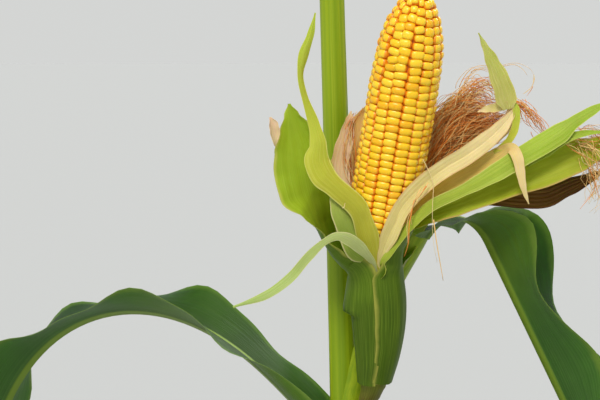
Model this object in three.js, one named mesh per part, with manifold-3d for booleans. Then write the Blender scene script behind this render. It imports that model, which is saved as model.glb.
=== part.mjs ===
// A maize plant with one ripe ear whose husk is peeled open, at its real size, in millimetres, +Z up.
// The origin is the middle of the stalk's flat cut at ground level. Seen from -Y, the ear stands in front
// of the stalk and leans towards +X, and the leaves stand in two ranks, right-front and left-back.
// Angles are in degrees. An azimuth turns from +X towards +Y.
import * as THREE from "three";
import { ParametricGeometry } from "three/addons/geometries/ParametricGeometry.js";
import { mergeGeometries, mergeVertices } from "three/addons/utils/BufferGeometryUtils.js";
import Module from "manifold-3d";

const wasm = await Module();
wasm.setup();

const CLEARANCE = 0.3; // gap between neighbouring pieces
const WELD = 1e-3; // points nearer than this are one point
const GOLDEN_ANGLE = 137.5; // turn from one side branch to the next round an axis

// Stalk
const JOINTS = 13; // stalk joints above the ground, the last one under the tassel
const SHORTEST_INTERNODE = 45;
const LONGEST_INTERNODE = 172;
const INTERNODE_GROWTH = 2.4; // joints over which the internodes lengthen
const PEDUNCLE = 230; // stretch from the last joint to the tassel
const FOOT_RADIUS = 13;
const STALK_TAPER = 0.68; // share of the foot radius lost by the top
const TAPER_POWER = 1.25;
const LEAN = 45; // how far the last joint stands towards -X
const JOINT_SWELL = 1.6;
const JOINT_HALF = 4; // half the height of a joint's ring
const SHEATH_THICKNESS = 1.4;
const SHEATH_SHARE = 0.97; // share of its internode that a leaf sheath covers
const FLAG_SHEATH_SHARE = 0.6; // the last leaf's sheath leaves the peduncle bare above it
const COLLAR_FLARE = 0.8;
const COLLAR_HEIGHT = 10;
const STALK_SIDES = 12;

// Brace roots, in one ring at each of the two lowest joints
const ROOTS_PER_RING = 8;
const ROOT_SPREADS = [34, 78]; // distance from the axis at which each ring meets the ground
const ROOT_RADIUS = 3.4;
const ROOT_SIDES = 5;
const ROOT_ROWS = 4;
const ROOT_DEPTH = 12; // the roots are drawn this far down before the ground cuts them

// Leaves
const FIRST_LEAF = 3; // the joints below have shed theirs
const EAR_JOINT = 8;
const LEAF_LENGTH = 800; // the longest, at the ear
const LEAF_WIDTH = 88;
const LEAF_THICKNESS_SHARE = 0.01; // of the length, at the midrib
const SHORTENING_BELOW = 0.016; // share of the length lost per joint squared away from the ear
const SHORTENING_ABOVE = 0.021;
const RIGHT_RANK = -38; // azimuth of the even leaves
const LEFT_RANK = 146;
const WIDEST_AT = 0.36; // share of the length
const LEAF_TIP = [2.3, 0.9]; // powers that shape the taper to the tip
const TIP_FOLD = 10; // rise of each half from the midrib at the tip
const MARGIN_DROOP = -8; // turn of the blade from midrib to margin
const MARGIN_LAG = -1.26; // phase of the right margin's ripple behind the left margin's
const INNER_ROWS = 10;
const OUTER_ROWS = 13;
const LEAF_HABIT = {
  startAngle: 58, // above level at the collar
  endAngle: -72, // at the tip
  bend: [0.04, 0.78], // shares of the length between which the leaf bends over
  footFold: 34, // rise of each half from the midrib at the foot, and further out
  midFold: 30,
  foldBy: [0.04, 0.14], // shares of the length between which the fold changes
  footWidth: 0.58, // share of the full width
  growBy: WIDEST_AT, // share of the length by which the blade has its full width
  tightestWrap: 1.7, // turn of the blade's foot round the stalk, each way, in radians
  openBy: 0.13, // share of the length over which the blade opens from round the stalk
  rippleBy: 0.2, // share of the length at which the ripple is full
  waves: 5.5, // ripples along each margin
  crowding: 1.3, // power that sets the outer rows closer near the bend
};
const EAR_LEAF_HABIT = {
  startAngle: 56,
  endAngle: -64,
  bend: [0, 0.075],
  footFold: -34,
  midFold: 56,
  foldBy: [0.03, 0.075],
  footWidth: 0.55,
  growBy: 0.1,
  tightestWrap: 0.5,
  openBy: 0.055,
  rippleBy: 0.02,
  waves: 6.7,
  wavePhase: 4.1,
  azimuth: -10,
  turn: 8,
  roll: 0,
  crowding: 2,
};
const RIPPLE = 0.11; // height of a ripple as a share of the leaf's width

// The ear pushes its own leaf's sheath aside, so that sheath runs free from the joint to its collar.
const EAR_LEAF_COLLAR = new THREE.Vector3(44, -22, 1165);
const EAR_SHEATH_BELLY = new THREE.Vector3(20, -21, 1118);
const EAR_SHEATH_WIDTH = 42;
const EAR_SHEATH_AZIMUTH = -30;
const EAR_SHEATH_CURL = 1.25;
const EAR_SHEATH_THICKNESS = 2.4;
const EAR_SHEATH_ROWS = 9;

// Ear
const EAR_BASE = new THREE.Vector3(7, -44, 1151);
const EAR_TIP = new THREE.Vector3(36.5, -69, 1342);
const EAR_RADIUS = 24.6;
const EAR_FOOT_SHARE = 0.66; // radius at the foot as a share of the full one, which is reached at EAR_FULL
const EAR_FULL = 0.2;
const EAR_TAPER_FROM = 0.6;
const EAR_TAPER_REACH = 0.42;
const EAR_TAPER = [3.2, 0.75]; // powers that round the tip
const KERNEL_ROWS = 16;
const KERNELS_PER_ROW = 37;
const KERNEL_CROWDING = 0.12; // kernels are shorter at the ear's foot and longer at its tip by this share
const KERNEL_RELIEF = 1.5;
const TUFT_RADIUS = 5;
const TUFT_LENGTH = 20;

// Shank: a short stem from the stalk's joint to a ring, then the wrapped foot of the husk
const SHANK_RING = new THREE.Vector3(8, -36, 1065);
const SHANK_RADII = [7.2, 7, 7.4, 9.4, 12, 14.6, 16.4, 17.2, 17, 16.2]; // evenly along it
const SHANK_SINK = 3; // how far it is drawn into the stalk before it is cut clear

// Husk leaves. Each point of a husk's midrib is x, y, z from the ear's foot, then the width there.
// facing is the way the inner face looks at the foot and at the tip, and cup is its turn to each margin.
const HUSK_THICKNESS = 2;
const HUSK_ROWS = 14;
const HUSKS = [
  {
    name: "husk_left_outer",
    finish: "huskGreen",
    midrib: [[-9, -12, -14, 20], [-18, -15, 14, 26], [-32, -16, 36, 32], [-50, -14, 57, 46],
      [-55, -12, 80, 38], [-58.5, -11, 97, 22], [-60, -12, 112, 4]],
    facing: [[0.7, -0.65, 0.3], [0, -1, -0.1]],
    cup: 0.4,
  },
  {
    name: "husk_left_lance",
    finish: "huskGreen",
    midrib: [[-4, -14, -10, 10], [-6, -25, 24, 14], [-12.5, -30, 40, 13], [-28.5, -33, 55.5, 15],
      [-41, -32, 69.5, 21], [-40, -30, 82.5, 12.5], [-43.5, -27, 98.5, 8.5], [-53, -24, 133, 4.5],
      [-50.5, -24, 147, 7.3], [-43, -26, 176, 1.5]],
    facing: [[0.25, -1, 0.1], [0.4, -0.9, 0.2]],
    cup: -0.4,
  },
  {
    name: "husk_left_ribbon",
    finish: "huskPale",
    midrib: [[-3, -16, -14, 8], [-11, -28, 11.5, 9.5], [-19.5, -36, 20.5, 8.5], [-27, -40, 24, 5],
      [-48, -41, 7.5, 6.5], [-76, -37, -19, 6], [-100, -36, -28, 2.5]],
    facing: [[0.2, -0.8, 0.5], [-0.3, -0.7, 0.6]],
    cup: 0.3,
  },
  {
    name: "husk_back",
    finish: "huskPale",
    midrib: [[-2, 14, -8, 22], [-1, 28, 25, 54], [4, 32, 61, 66], [8, 33, 93, 54], [12, 38, 124, 6]],
    facing: [[0, -1, 0.1], [0, -1, 0.3]],
    cup: 0.7,
  },
  {
    name: "husk_right_inner",
    finish: "huskPale",
    midrib: [[4, -15, -10, 10], [7, -25, 23, 12], [17.5, -29, 40.5, 13], [33, -30, 57.5, 13.5],
      [62, -27, 77, 13.5], [85.5, -23, 95.5, 12.5], [93, -20, 109, 12], [86, -19, 129, 14],
      [71, -16, 162, 1.5]],
    facing: [[-0.3, -0.9, 0.35], [0.3, -0.9, 0.3]],
    cup: 0.35,
  },
  {
    name: "husk_right_folded",
    finish: "huskPale",
    midrib: [[8, -12, -10, 9], [19.5, -22, 33.5, 9.5], [51.5, -21, 59.5, 13], [83, -21, 77, 9],
      [93, -27, 82, 6.5], [97.5, -38, 76, 6.6], [98, -44, 59.5, 4.6], [101, -45, 47, 1.5]],
    facing: [[-0.35, -0.8, 0.5], [0.6, -0.8, 0]],
    cup: 0.2,
  },
  {
    name: "husk_right_strap",
    finish: "huskGreen",
    midrib: [[8, -16, -14, 8], [18, -26, 27.5, 8], [37, -32, 43.5, 8.5], [71, -35, 59.5, 11],
      [99, -34, 77, 15.5], [125.5, -31, 92.5, 15], [148, -27, 107.5, 7.5], [162, -25, 115, 2.5]],
    facing: [[-0.4, -0.75, 0.55], [-0.4, -0.8, 0.45]],
    cup: 0.25,
  },
  {
    name: "husk_right_lower",
    finish: "huskGreen",
    midrib: [[12, -12, -16, 12], [21.5, -21, 28, 11], [37.5, -24, 37, 13.5], [86.5, -24, 56, 22],
      [114.5, -22, 67, 26], [139, -20, 76, 24], [157, -18, 82, 15], [170, -16, 89, 2]],
    facing: [[-0.3, -0.85, 0.45], [-0.3, -0.85, 0.4]],
    cup: 0.35,
  },
  {
    name: "husk_right_dried",
    finish: "silk",
    midrib: [[13, -4, -14, 9], [24, -8, 14, 6], [38, -12, 34, 7], [87.5, -14, 44, 15.5], [105, -13, 43, 16],
      [121, -12, 44, 15], [136, -11, 51, 12], [161, -10, 65, 2]],
    facing: [[-0.3, -0.85, 0.45], [-0.2, -0.9, 0.3]],
    cup: 0.3,
  },
  {
    name: "husk_back_outer",
    finish: "huskGreen",
    midrib: [[9, 14, -16, 18], [20, 33, 14, 34], [36, 50, 38, 40], [54, 66, 54, 36],
      [74, 82, 62, 24], [94, 96, 58, 4]],
    facing: [[-0.4, -0.6, 0.6], [-0.3, -0.3, 0.9]],
    cup: 0.5,
  },
];

// Silk masses: middle from the ear's foot, half extents, and how lumpy each is.
const SILK_ROWS = 8;
const SILK_SIDES = 10;
const SILKS = [
  { name: "silk_right", middle: [62, 4, 94], size: [44, 20, 36], lump: 0.16 },
  { name: "silk_left", middle: [-17, 10, 74], size: [7, 9, 30], lump: 0.12 },
  { name: "silk_husk_end", middle: [160, -4, 72], size: [18, 12, 18], lump: 0.2 },
];

// Tassel
const SPIKE_LENGTH = 320;
const SPIKE_RADIUS = 4.2;
const TASSEL_BRANCHES = 11;
const BRANCH_START = 8; // height of the lowest branch up the spike
const BRANCH_ZONE = 90; // length of spike that carries the side branches
const BRANCH_LENGTH = 215;
const BRANCH_RADIUS = 2.4;
const ROD_ROWS = 8;

const radians = THREE.MathUtils.degToRad;
const mix = THREE.MathUtils.lerp;
const smooth = (from, to, x) => THREE.MathUtils.smoothstep(x, from, to);
const vector = (x, y, z) => new THREE.Vector3(x, y, z);
const polar = (azimuth, distance, z) =>
  vector(Math.cos(radians(azimuth)) * distance, Math.sin(radians(azimuth)) * distance, z);
const numbered = (name, number) => name + "_" + String(number).padStart(2, "0");

// A closed skin over rings of points. pointAt(row, share) gives a point of a ring, and share runs once
// round it.
// The first and last rings are closed at their own middle.
function skin(rows, around, pointAt) {
  const middle = (row) => {
    const sum = new THREE.Vector3();
    for (let i = 0; i < around; i++) sum.add(pointAt(row, i / around));
    return sum.divideScalar(around);
  };
  const ends = [middle(0), middle(rows - 1)];
  const geometry = new ParametricGeometry(
    (u, v, target) => {
      const step = Math.round(v * (rows + 1));
      if (step === 0) target.copy(ends[0]);
      else if (step === rows + 1) target.copy(ends[1]);
      else target.copy(pointAt(step - 1, (Math.round(u * around) % around) / around));
    },
    around,
    rows + 1,
  );
  return closedGeometry(geometry);
}

// A closed sheet between an upper and a lower face, each a grid of points. pointAt(row, column, upper)
// gives a point of a face. Both faces are cut into triangles the same way, so that a thin sheet never
// crosses itself.
function sheet(rows, columns, pointAt) {
  const patch = (across, along, place) =>
    new ParametricGeometry(
      (u, v, target) => target.copy(place(Math.round(u * across), Math.round(v * along))),
      across,
      along,
    );
  const patches = [
    patch(rows - 1, columns, (row, column) => pointAt(row, column, true)),
    patch(columns, rows - 1, (column, row) => pointAt(row, column, false)),
    patch(columns, 1, (column, below) => pointAt(0, column, !below)),
    patch(columns, 1, (column, above) => pointAt(rows - 1, column, Boolean(above))),
    patch(rows - 1, 1, (row, above) => pointAt(row, 0, Boolean(above))),
    patch(rows - 1, 1, (row, below) => pointAt(row, columns, !below)),
  ];
  return closedGeometry(mergeGeometries(patches));
}

// A geometry as one merged body with its faces out: doubled points and collapsed faces are gone.
function closedGeometry(geometry) {
  geometry.deleteAttribute("normal");
  geometry.deleteAttribute("uv");
  const merged = mergeVertices(geometry, WELD);
  const position = merged.getAttribute("position");
  const corner = [new THREE.Vector3(), new THREE.Vector3(), new THREE.Vector3()];
  const faces = [];
  let volume = 0;
  for (let i = 0; i < merged.index.count; i += 3) {
    const face = [0, 1, 2].map((k) => merged.index.getX(i + k));
    if (new Set(face).size < 3) continue;
    faces.push(face);
    face.forEach((vertex, k) => corner[k].fromBufferAttribute(position, vertex));
    volume += corner[0].dot(corner[1].clone().cross(corner[2]));
  }
  if (volume < 0) faces.forEach((face) => face.reverse());
  merged.setIndex(faces.flat());
  return merged;
}

function toSolid(geometry) {
  const mesh = new wasm.Mesh({
    numProp: 3,
    vertProperties: new Float32Array(geometry.getAttribute("position").array),
    triVerts: new Uint32Array(geometry.index.array),
  });
  return new wasm.Manifold(mesh);
}

function toGeometry(solid) {
  const mesh = solid.getMesh();
  return new THREE.BufferGeometry()
    .setAttribute("position", new THREE.BufferAttribute(mesh.vertProperties, 3))
    .setIndex(new THREE.BufferAttribute(mesh.triVerts, 1));
}

// The largest body of a solid: a loose scrap left by a cut is dropped.
const largest = (solid) => solid.decompose().sort((a, b) => b.volume() - a.volume())[0];

// Cuts a piece clear of the fuller copies of its neighbours.
function cutClear(solid, neighbours) {
  let left = solid;
  for (const neighbour of neighbours) {
    if (left.intersect(neighbour).volume() > 0) left = largest(left.subtract(neighbour));
  }
  return left;
}

const finish = (color, roughness) => new THREE.MeshStandardMaterial({ color, roughness, metalness: 0 });
const FINISHES = {
  stalk: finish(0x8ea63a, 0.55),
  leaf: finish(0x4c7634, 0.6),
  huskGreen: finish(0x93a63a, 0.6),
  huskPale: finish(0xc8b27a, 0.7),
  kernel: finish(0xe6b225, 0.35),
  silk: finish(0x84502a, 0.8),
  straw: finish(0xb59a5e, 0.8),
};

const plant = new THREE.Group();

function add(name, solid, surface) {
  const mesh = new THREE.Mesh(toGeometry(solid), surface);
  mesh.name = name;
  plant.add(mesh);
}

// Stalk, with the leaf sheaths that clothe it

const internodeLength = (joint) =>
  mix(SHORTEST_INTERNODE, LONGEST_INTERNODE, 1 - Math.exp((1 - joint) / INTERNODE_GROWTH));

function jointHeight(joint) {
  let height = 0;
  for (let k = 1; k <= joint; k++) height += internodeLength(k);
  return height;
}

const LAST_JOINT_HEIGHT = jointHeight(JOINTS);
const STALK_HEIGHT = LAST_JOINT_HEIGHT + PEDUNCLE;
const sheathShare = (joint) => (joint === JOINTS ? FLAG_SHEATH_SHARE : SHEATH_SHARE);
const collarHeight = (joint) => jointHeight(joint) + sheathShare(joint) * internodeLength(joint + 1);

const stalkAxis = (z) => vector(-LEAN * (z / LAST_JOINT_HEIGHT) ** 2, 0, z);
const bareRadius = (z) => FOOT_RADIUS * (1 - STALK_TAPER * (z / STALK_HEIGHT) ** TAPER_POWER);
const collarRadius = (joint) => bareRadius(collarHeight(joint)) + SHEATH_THICKNESS + COLLAR_FLARE;

// Heights and radii of the stalk's rings, from the ground up.
function stalkRings() {
  const rings = [];
  const ring = (z, extra) => rings.push([z, bareRadius(z) + extra]);
  ring(0, 0);
  for (let joint = 1; joint <= JOINTS; joint++) {
    const z = jointHeight(joint);
    const collar = collarHeight(joint);
    const clothed = joint >= FIRST_LEAF;
    ring(z - JOINT_HALF, 0);
    ring(z, JOINT_SWELL);
    ring(z + JOINT_HALF, clothed ? SHEATH_THICKNESS : 0);
    if (!clothed) continue;
    ring(collar - COLLAR_HEIGHT, SHEATH_THICKNESS);
    ring(collar, SHEATH_THICKNESS + COLLAR_FLARE);
  }
  ring(collarHeight(JOINTS) + JOINT_HALF, 0);
  ring(STALK_HEIGHT, 0);
  return rings;
}

function stalkBody(extra) {
  const rings = stalkRings();
  return toSolid(
    skin(rings.length, STALK_SIDES, (row, share) => {
      const [z, radius] = rings[row];
      return polar(360 * share, radius + extra, 0).add(stalkAxis(z));
    }),
  );
}

// One brace root: out of its joint in an arch, then steeply down into the ground.
function braceRoot(joint, azimuth, spread) {
  const start = jointHeight(joint);
  const inner = 0.3 * FOOT_RADIUS;
  const path = new THREE.CatmullRomCurve3([
    polar(azimuth, inner, start),
    polar(azimuth, mix(inner, spread, 0.45), 0.72 * start),
    polar(azimuth, spread, -ROOT_DEPTH),
  ]);
  const across = polar(azimuth + 90, 1, 0);
  const upward = path.getTangent(0.5).cross(across);
  return toSolid(
    skin(ROOT_ROWS, ROOT_SIDES, (row, share) => {
      const point = path.getPoint(row / (ROOT_ROWS - 1));
      const angle = 2 * Math.PI * share;
      point.addScaledVector(across, Math.cos(angle) * ROOT_RADIUS);
      return point.addScaledVector(upward, Math.sin(angle) * ROOT_RADIUS);
    }),
  );
}

function makeStalk() {
  let body = stalkBody(0);
  ROOT_SPREADS.forEach((spread, ring) => {
    for (let i = 0; i < ROOTS_PER_RING; i++) {
      const azimuth = (360 * (i + 0.5 * ring)) / ROOTS_PER_RING;
      body = body.add(braceRoot(ring + 1, azimuth, spread));
    }
  });
  const reach = 4 * Math.max(...ROOT_SPREADS);
  const depth = 4 * ROOT_DEPTH;
  const underground = new THREE.BoxGeometry(reach, reach, depth).translate(0, 0, -depth / 2);
  return largest(body.subtract(toSolid(closedGeometry(underground))));
}

// Blades. A blade is swept along a spine of frames {point, along, across, up, t}, with t from 0 at its foot
// to 1 at its tip. Its section slopes up from the midrib by fold, and by curl more at its margins, both in
// radians.

// Where the section is at a share s of the half width: how far out and how high, in half widths.
function sectionAt(fold, curl, s) {
  const end = fold + curl * s;
  if (Math.abs(curl) < 1e-4) return [Math.cos(fold) * s, Math.sin(fold) * s];
  return [(Math.sin(end) - Math.sin(fold)) / curl, (Math.cos(fold) - Math.cos(end)) / curl];
}

// A point of a blade: s runs from -1 to 1 across it, and depth is how far below the upper face it lies.
function bladePoint(frame, { half, fold, curl, lift }, s, depth) {
  const side = Math.sign(s);
  const slope = fold + curl * Math.abs(s);
  const [outward, height] = sectionAt(fold, curl, Math.abs(s));
  const point = frame.point.clone();
  point.addScaledVector(frame.across, side * (half * outward + depth * Math.sin(slope)));
  return point.addScaledVector(frame.up, half * height + lift - depth * Math.cos(slope));
}

// A lens-shaped solid blade: thick at the midrib and sharp at the margins. With extra it is a fuller copy,
// grown by that much on every side.
function makeBlade(spine, columns, shapeAt, thickness, extra) {
  const last = spine.length - 1;
  const solid = sheet(spine.length, columns, (row, column, upper) => {
    const s = (2 * column) / columns - 1;
    const frame = spine[row];
    const shape = shapeAt(frame.t, s);
    const edge = 1 - Math.abs(s);
    const body = (Math.min(thickness, 2.2 * shape.half) * edge * (2 + edge)) / 3;
    const full = { ...shape, half: shape.half + extra };
    const beyond = row === 0 ? -extra : row === last ? extra : 0;
    return bladePoint(frame, full, s, upper ? -extra : body + extra).addScaledVector(frame.along, beyond);
  });
  return toSolid(solid);
}

// Sizes and habit of the leaf at a joint. Leaves are longest at the ear, and stand more upright above it.
function leafPlan(joint) {
  const offset = joint - EAR_JOINT;
  const size = 1 - (offset < 0 ? SHORTENING_BELOW : SHORTENING_ABOVE) * offset ** 2;
  const above = Math.max(0, offset);
  const plan = {
    ...LEAF_HABIT,
    length: LEAF_LENGTH * size,
    width: LEAF_WIDTH * mix(0.3, 1, size),
    azimuth: (joint % 2 ? LEFT_RANK : RIGHT_RANK) - 16 * Math.sin(2.4 * joint),
    startAngle: LEAF_HABIT.startAngle + 3.2 * above,
    endAngle: LEAF_HABIT.endAngle + 4 * above,
    turn: 14 * Math.sin(1.7 * joint),
    roll: 26 * Math.sin(1.1 * joint + 0.5),
    wavePhase: 1.9 * joint,
  };
  if (joint === EAR_JOINT) return { ...plan, ...EAR_LEAF_HABIT };
  if (joint === EAR_JOINT - 1) return { ...plan, startAngle: 42, bend: [0.04, 0.5] };
  if (joint === EAR_JOINT - 2) return { ...plan, startAngle: 46, bend: [0.04, 0.55] };
  return plan;
}

// Frames along a leaf's midrib, from its collar to its tip.
function leafSpine(plan, foot, steps) {
  const frames = [];
  const point = foot.clone();
  for (let i = 0; i <= steps; i++) {
    const t = i / steps;
    const rise = radians(mix(plan.startAngle, plan.endAngle, smooth(...plan.bend, t)));
    const azimuth = plan.azimuth + plan.turn * t * t;
    const along = polar(azimuth, Math.cos(rise), Math.sin(rise));
    const across = polar(azimuth + 90, 1, 0);
    const up = along.clone().cross(across);
    const roll = radians(plan.roll) * smooth(0.3, 1, t);
    across.applyAxisAngle(along, roll);
    up.applyAxisAngle(along, roll);
    frames.push({ point: point.clone(), along, across, up, t, rise });
    point.addScaledVector(along, plan.length / steps);
  }
  return frames;
}

// Half width, section and ripple of a leaf at t along it and s across it.
function leafShape(plan, collar, t, s) {
  const grow = mix(plan.footWidth, 1, smooth(0, plan.growBy, t));
  const past = Math.max(0, t - WIDEST_AT) / (1 - WIDEST_AT);
  const half = 0.5 * plan.width * grow * (1 - past ** LEAF_TIP[0]) ** LEAF_TIP[1];
  const open = smooth(0, plan.openBy, t);
  const wrap = Math.min(plan.tightestWrap, half / (collar + 1));
  const inner = mix(plan.footFold, plan.midFold, smooth(...plan.foldBy, t));
  const ripple = RIPPLE * plan.width * smooth(0, plan.rippleBy, t) * (1 - smooth(0.6, 1, t));
  const phase = 2 * Math.PI * plan.waves * t + plan.wavePhase - (s < 0 ? MARGIN_LAG : 0);
  return {
    half,
    fold: radians(mix(inner, TIP_FOLD, t)) * open,
    curl: mix(wrap, radians(MARGIN_DROOP), open),
    lift: ripple * s * s * Math.sin(phase),
  };
}

// The point where a leaf's midrib leaves its collar, just clear of what carries it.
function leafFoot(joint, plan) {
  if (joint === EAR_JOINT) return EAR_LEAF_COLLAR.clone().add(vector(CLEARANCE, 0, CLEARANCE));
  return polar(plan.azimuth, collarRadius(joint) + CLEARANCE, 0).add(stalkAxis(collarHeight(joint)));
}

// A leaf is two pieces, parted where it bends over: one rises from the collar, the other falls to the tip.
function makeLeaf(joint, extra) {
  const plan = leafPlan(joint);
  const fine = leafSpine(plan, leafFoot(joint, plan), 240);
  const top = fine.findIndex((frame) => frame.rise <= 0);
  const shape = (t, s) => leafShape(plan, collarRadius(joint), t, s);
  const pick = (from, to, rows, power) =>
    Array.from({ length: rows }, (_, i) => fine[Math.round(mix(from, to, (i / (rows - 1)) ** power))]);
  const thickness = plan.length * LEAF_THICKNESS_SHARE;
  const rise = pick(0, top, INNER_ROWS, 1);
  const fall = pick(top, fine.length - 1, OUTER_ROWS, plan.crowding);
  fall[0] = { ...fall[0], point: fall[0].point.clone().addScaledVector(fall[0].along, CLEARANCE) };
  const name = numbered("leaf", joint);
  return [
    [name + "_rise", makeBlade(rise, 6, shape, thickness, extra)],
    [name + "_fall", makeBlade(fall, 4, shape, thickness, extra)],
  ];
}

// Frames along a curve for a blade whose inner face looks the way that facing says at each end.
function curveSpine(path, rows, facing) {
  const looks = facing.map((way) => vector(...way).normalize());
  return Array.from({ length: rows }, (_, i) => {
    const t = i / (rows - 1);
    const along = path.getTangent(t);
    const up = looks[0].clone().lerp(looks[1], t);
    up.addScaledVector(along, -up.dot(along)).normalize();
    return { point: path.getPoint(t), along, across: up.clone().cross(along), up, t };
  });
}

function earLeafSheath(extra) {
  const z = jointHeight(EAR_JOINT);
  const start = polar(EAR_SHEATH_AZIMUTH, bareRadius(z) + JOINT_SWELL + EAR_SHEATH_THICKNESS, 0);
  start.add(stalkAxis(z + JOINT_HALF));
  const path = new THREE.CatmullRomCurve3([start, EAR_SHEATH_BELLY, EAR_LEAF_COLLAR]);
  const inward = polar(EAR_SHEATH_AZIMUTH + 180, 1, 0).toArray();
  const spine = curveSpine(path, EAR_SHEATH_ROWS, [inward, inward]);
  const shape = () => ({ half: EAR_SHEATH_WIDTH / 2, fold: 0, curl: EAR_SHEATH_CURL, lift: 0 });
  return makeBlade(spine, 4, shape, EAR_SHEATH_THICKNESS, extra);
}

// Ear

const EAR_AXIS = EAR_TIP.clone().sub(EAR_BASE);
const EAR_LENGTH = EAR_AXIS.length();
const EAR_UP = EAR_AXIS.clone().normalize();
const EAR_RIGHT = EAR_UP.clone().cross(vector(0, -1, 0)).normalize();
const EAR_FRONT = EAR_RIGHT.clone().cross(EAR_UP).normalize();

// Radius of the ear over its kernels: quickly full above its foot, and rounded over its last two fifths.
function earRadius(t) {
  const past = Math.max(0, t - EAR_TAPER_FROM) / EAR_TAPER_REACH;
  const foot = mix(EAR_FOOT_SHARE, 1, smooth(0, EAR_FULL, t));
  return EAR_RADIUS * foot * (1 - past ** EAR_TAPER[0]) ** EAR_TAPER[1];
}

function earPoint(t, turn, radius) {
  const point = EAR_BASE.clone().addScaledVector(EAR_UP, t * EAR_LENGTH);
  point.addScaledVector(EAR_RIGHT, Math.cos(radians(turn)) * radius);
  return point.addScaledVector(EAR_FRONT, Math.sin(radians(turn)) * radius);
}

// Share of the ear's length at a share of a row's kernels.
const kernelPlace = (share) => share * (1 - KERNEL_CROWDING * (1 - share));

// The ear's kernels, each with its crown in the middle of four low corners.
function makeEar() {
  const rows = 2 * KERNELS_PER_ROW + 1;
  const around = 2 * KERNEL_ROWS;
  return toSolid(
    skin(rows, around, (row, share) => {
      const t = kernelPlace(row / (rows - 1));
      const crown = Math.round(share * around) % 2 === 0 && row % 2 === 1;
      return earPoint(t, 360 * share, Math.max(2, earRadius(t) - (crown ? 0 : KERNEL_RELIEF)));
    }),
  );
}

// The ear as a smooth body that stands clear of its kernels, to cut its neighbours with.
function earClearance() {
  const rows = 20;
  return toSolid(
    skin(rows, 24, (row, share) => {
      const t = row / (rows - 1);
      const point = earPoint(t, 360 * share, earRadius(t) + 2 * CLEARANCE);
      return point.addScaledVector(EAR_UP, mix(-CLEARANCE, CLEARANCE, t));
    }),
  );
}

// The withered tuft on the ear's tip.
function makeTipTuft() {
  const rows = 5;
  return toSolid(
    skin(rows, 8, (row, share) => {
      const t = row / (rows - 1);
      const ragged = 1 + 0.1 * Math.sin(6 * Math.PI * share + 3 * t);
      const point = earPoint(1, 360 * share, TUFT_RADIUS * (1 - 0.75 * t) * ragged);
      point.addScaledVector(EAR_UP, CLEARANCE + TUFT_LENGTH * t);
      return point.addScaledVector(EAR_RIGHT, TUFT_RADIUS * t * t);
    }),
  );
}

function makeShank(extra) {
  const start = stalkAxis(jointHeight(EAR_JOINT) + 2 * JOINT_HALF);
  const outward = SHANK_RING.clone().sub(start).setZ(0).normalize();
  start.addScaledVector(outward, bareRadius(start.z) + SHANK_RADII[0] - SHANK_SINK);
  const wrapTop = EAR_BASE.clone().addScaledVector(EAR_UP, -CLEARANCE);
  const path = new THREE.CatmullRomCurve3([
    start,
    start.clone().lerp(SHANK_RING, 0.5).addScaledVector(outward, 4),
    SHANK_RING,
    SHANK_RING.clone().lerp(wrapTop, 0.55).add(vector(2.5, -1, 0)),
    wrapTop,
  ]);
  const last = SHANK_RADII.length - 1;
  const spine = SHANK_RADII.map((_, i) => path.getPointAt(i / last));
  return toSolid(
    skin(spine.length, 12, (row, share) =>
      polar(360 * share, SHANK_RADII[row] + extra, row === 0 ? -extra : 0).add(spine[row]),
    ),
  );
}

function makeHusk(husk, extra) {
  const points = husk.midrib.map(([x, y, z]) => vector(x, y, z).add(EAR_BASE));
  const spine = curveSpine(new THREE.CatmullRomCurve3(points), HUSK_ROWS, husk.facing);
  const shape = (t) => {
    const place = t * (husk.midrib.length - 1);
    const low = Math.min(husk.midrib.length - 2, Math.floor(place));
    const width = mix(husk.midrib[low][3], husk.midrib[low + 1][3], place - low);
    return { half: width / 2, fold: 0, curl: husk.cup, lift: HUSK_THICKNESS / 2 };
  };
  return makeBlade(spine, 4, shape, HUSK_THICKNESS, extra);
}

// A tangled mass of silk: a lumpy body squashed round its own middle.
function makeSilk({ middle, size, lump }) {
  return toSolid(
    skin(SILK_ROWS, SILK_SIDES, (row, share) => {
      const down = (Math.PI * (row + 0.5)) / SILK_ROWS;
      const round = 2 * Math.PI * share;
      const swell = 1 + lump * Math.sin(3 * round + 2 * down) * Math.sin(3 * down);
      const unit = polar(360 * share, swell * Math.sin(down), swell * Math.cos(down));
      return unit.multiply(vector(...size)).add(vector(...middle)).add(EAR_BASE);
    }),
  );
}

// Tassel

function taperedRod(path, sides, radiusAt) {
  const frames = path.computeFrenetFrames(ROD_ROWS - 1, false);
  return toSolid(
    skin(ROD_ROWS, sides, (row, share) => {
      const t = row / (ROD_ROWS - 1);
      const angle = 2 * Math.PI * share;
      const point = path.getPointAt(t);
      point.addScaledVector(frames.normals[row], Math.cos(angle) * radiusAt(t));
      return point.addScaledVector(frames.binormals[row], Math.sin(angle) * radiusAt(t));
    }),
  );
}

const SPIKE_FOOT = stalkAxis(STALK_HEIGHT).setZ(STALK_HEIGHT + CLEARANCE);
const SPIKE_PATH = new THREE.CatmullRomCurve3(
  [vector(0, 0, 0), vector(0, 0, 0.15), vector(-0.02, 0.01, 0.5), vector(-0.06, 0.03, 1)].map((share) =>
    share.multiplyScalar(SPIKE_LENGTH).add(SPIKE_FOOT),
  ),
);
const spikeRadius = (t) => mix(SPIKE_RADIUS, 0.2 * SPIKE_RADIUS, t);
const branchRadius = (t) => mix(BRANCH_RADIUS, 0.3 * BRANCH_RADIUS, t);

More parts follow.
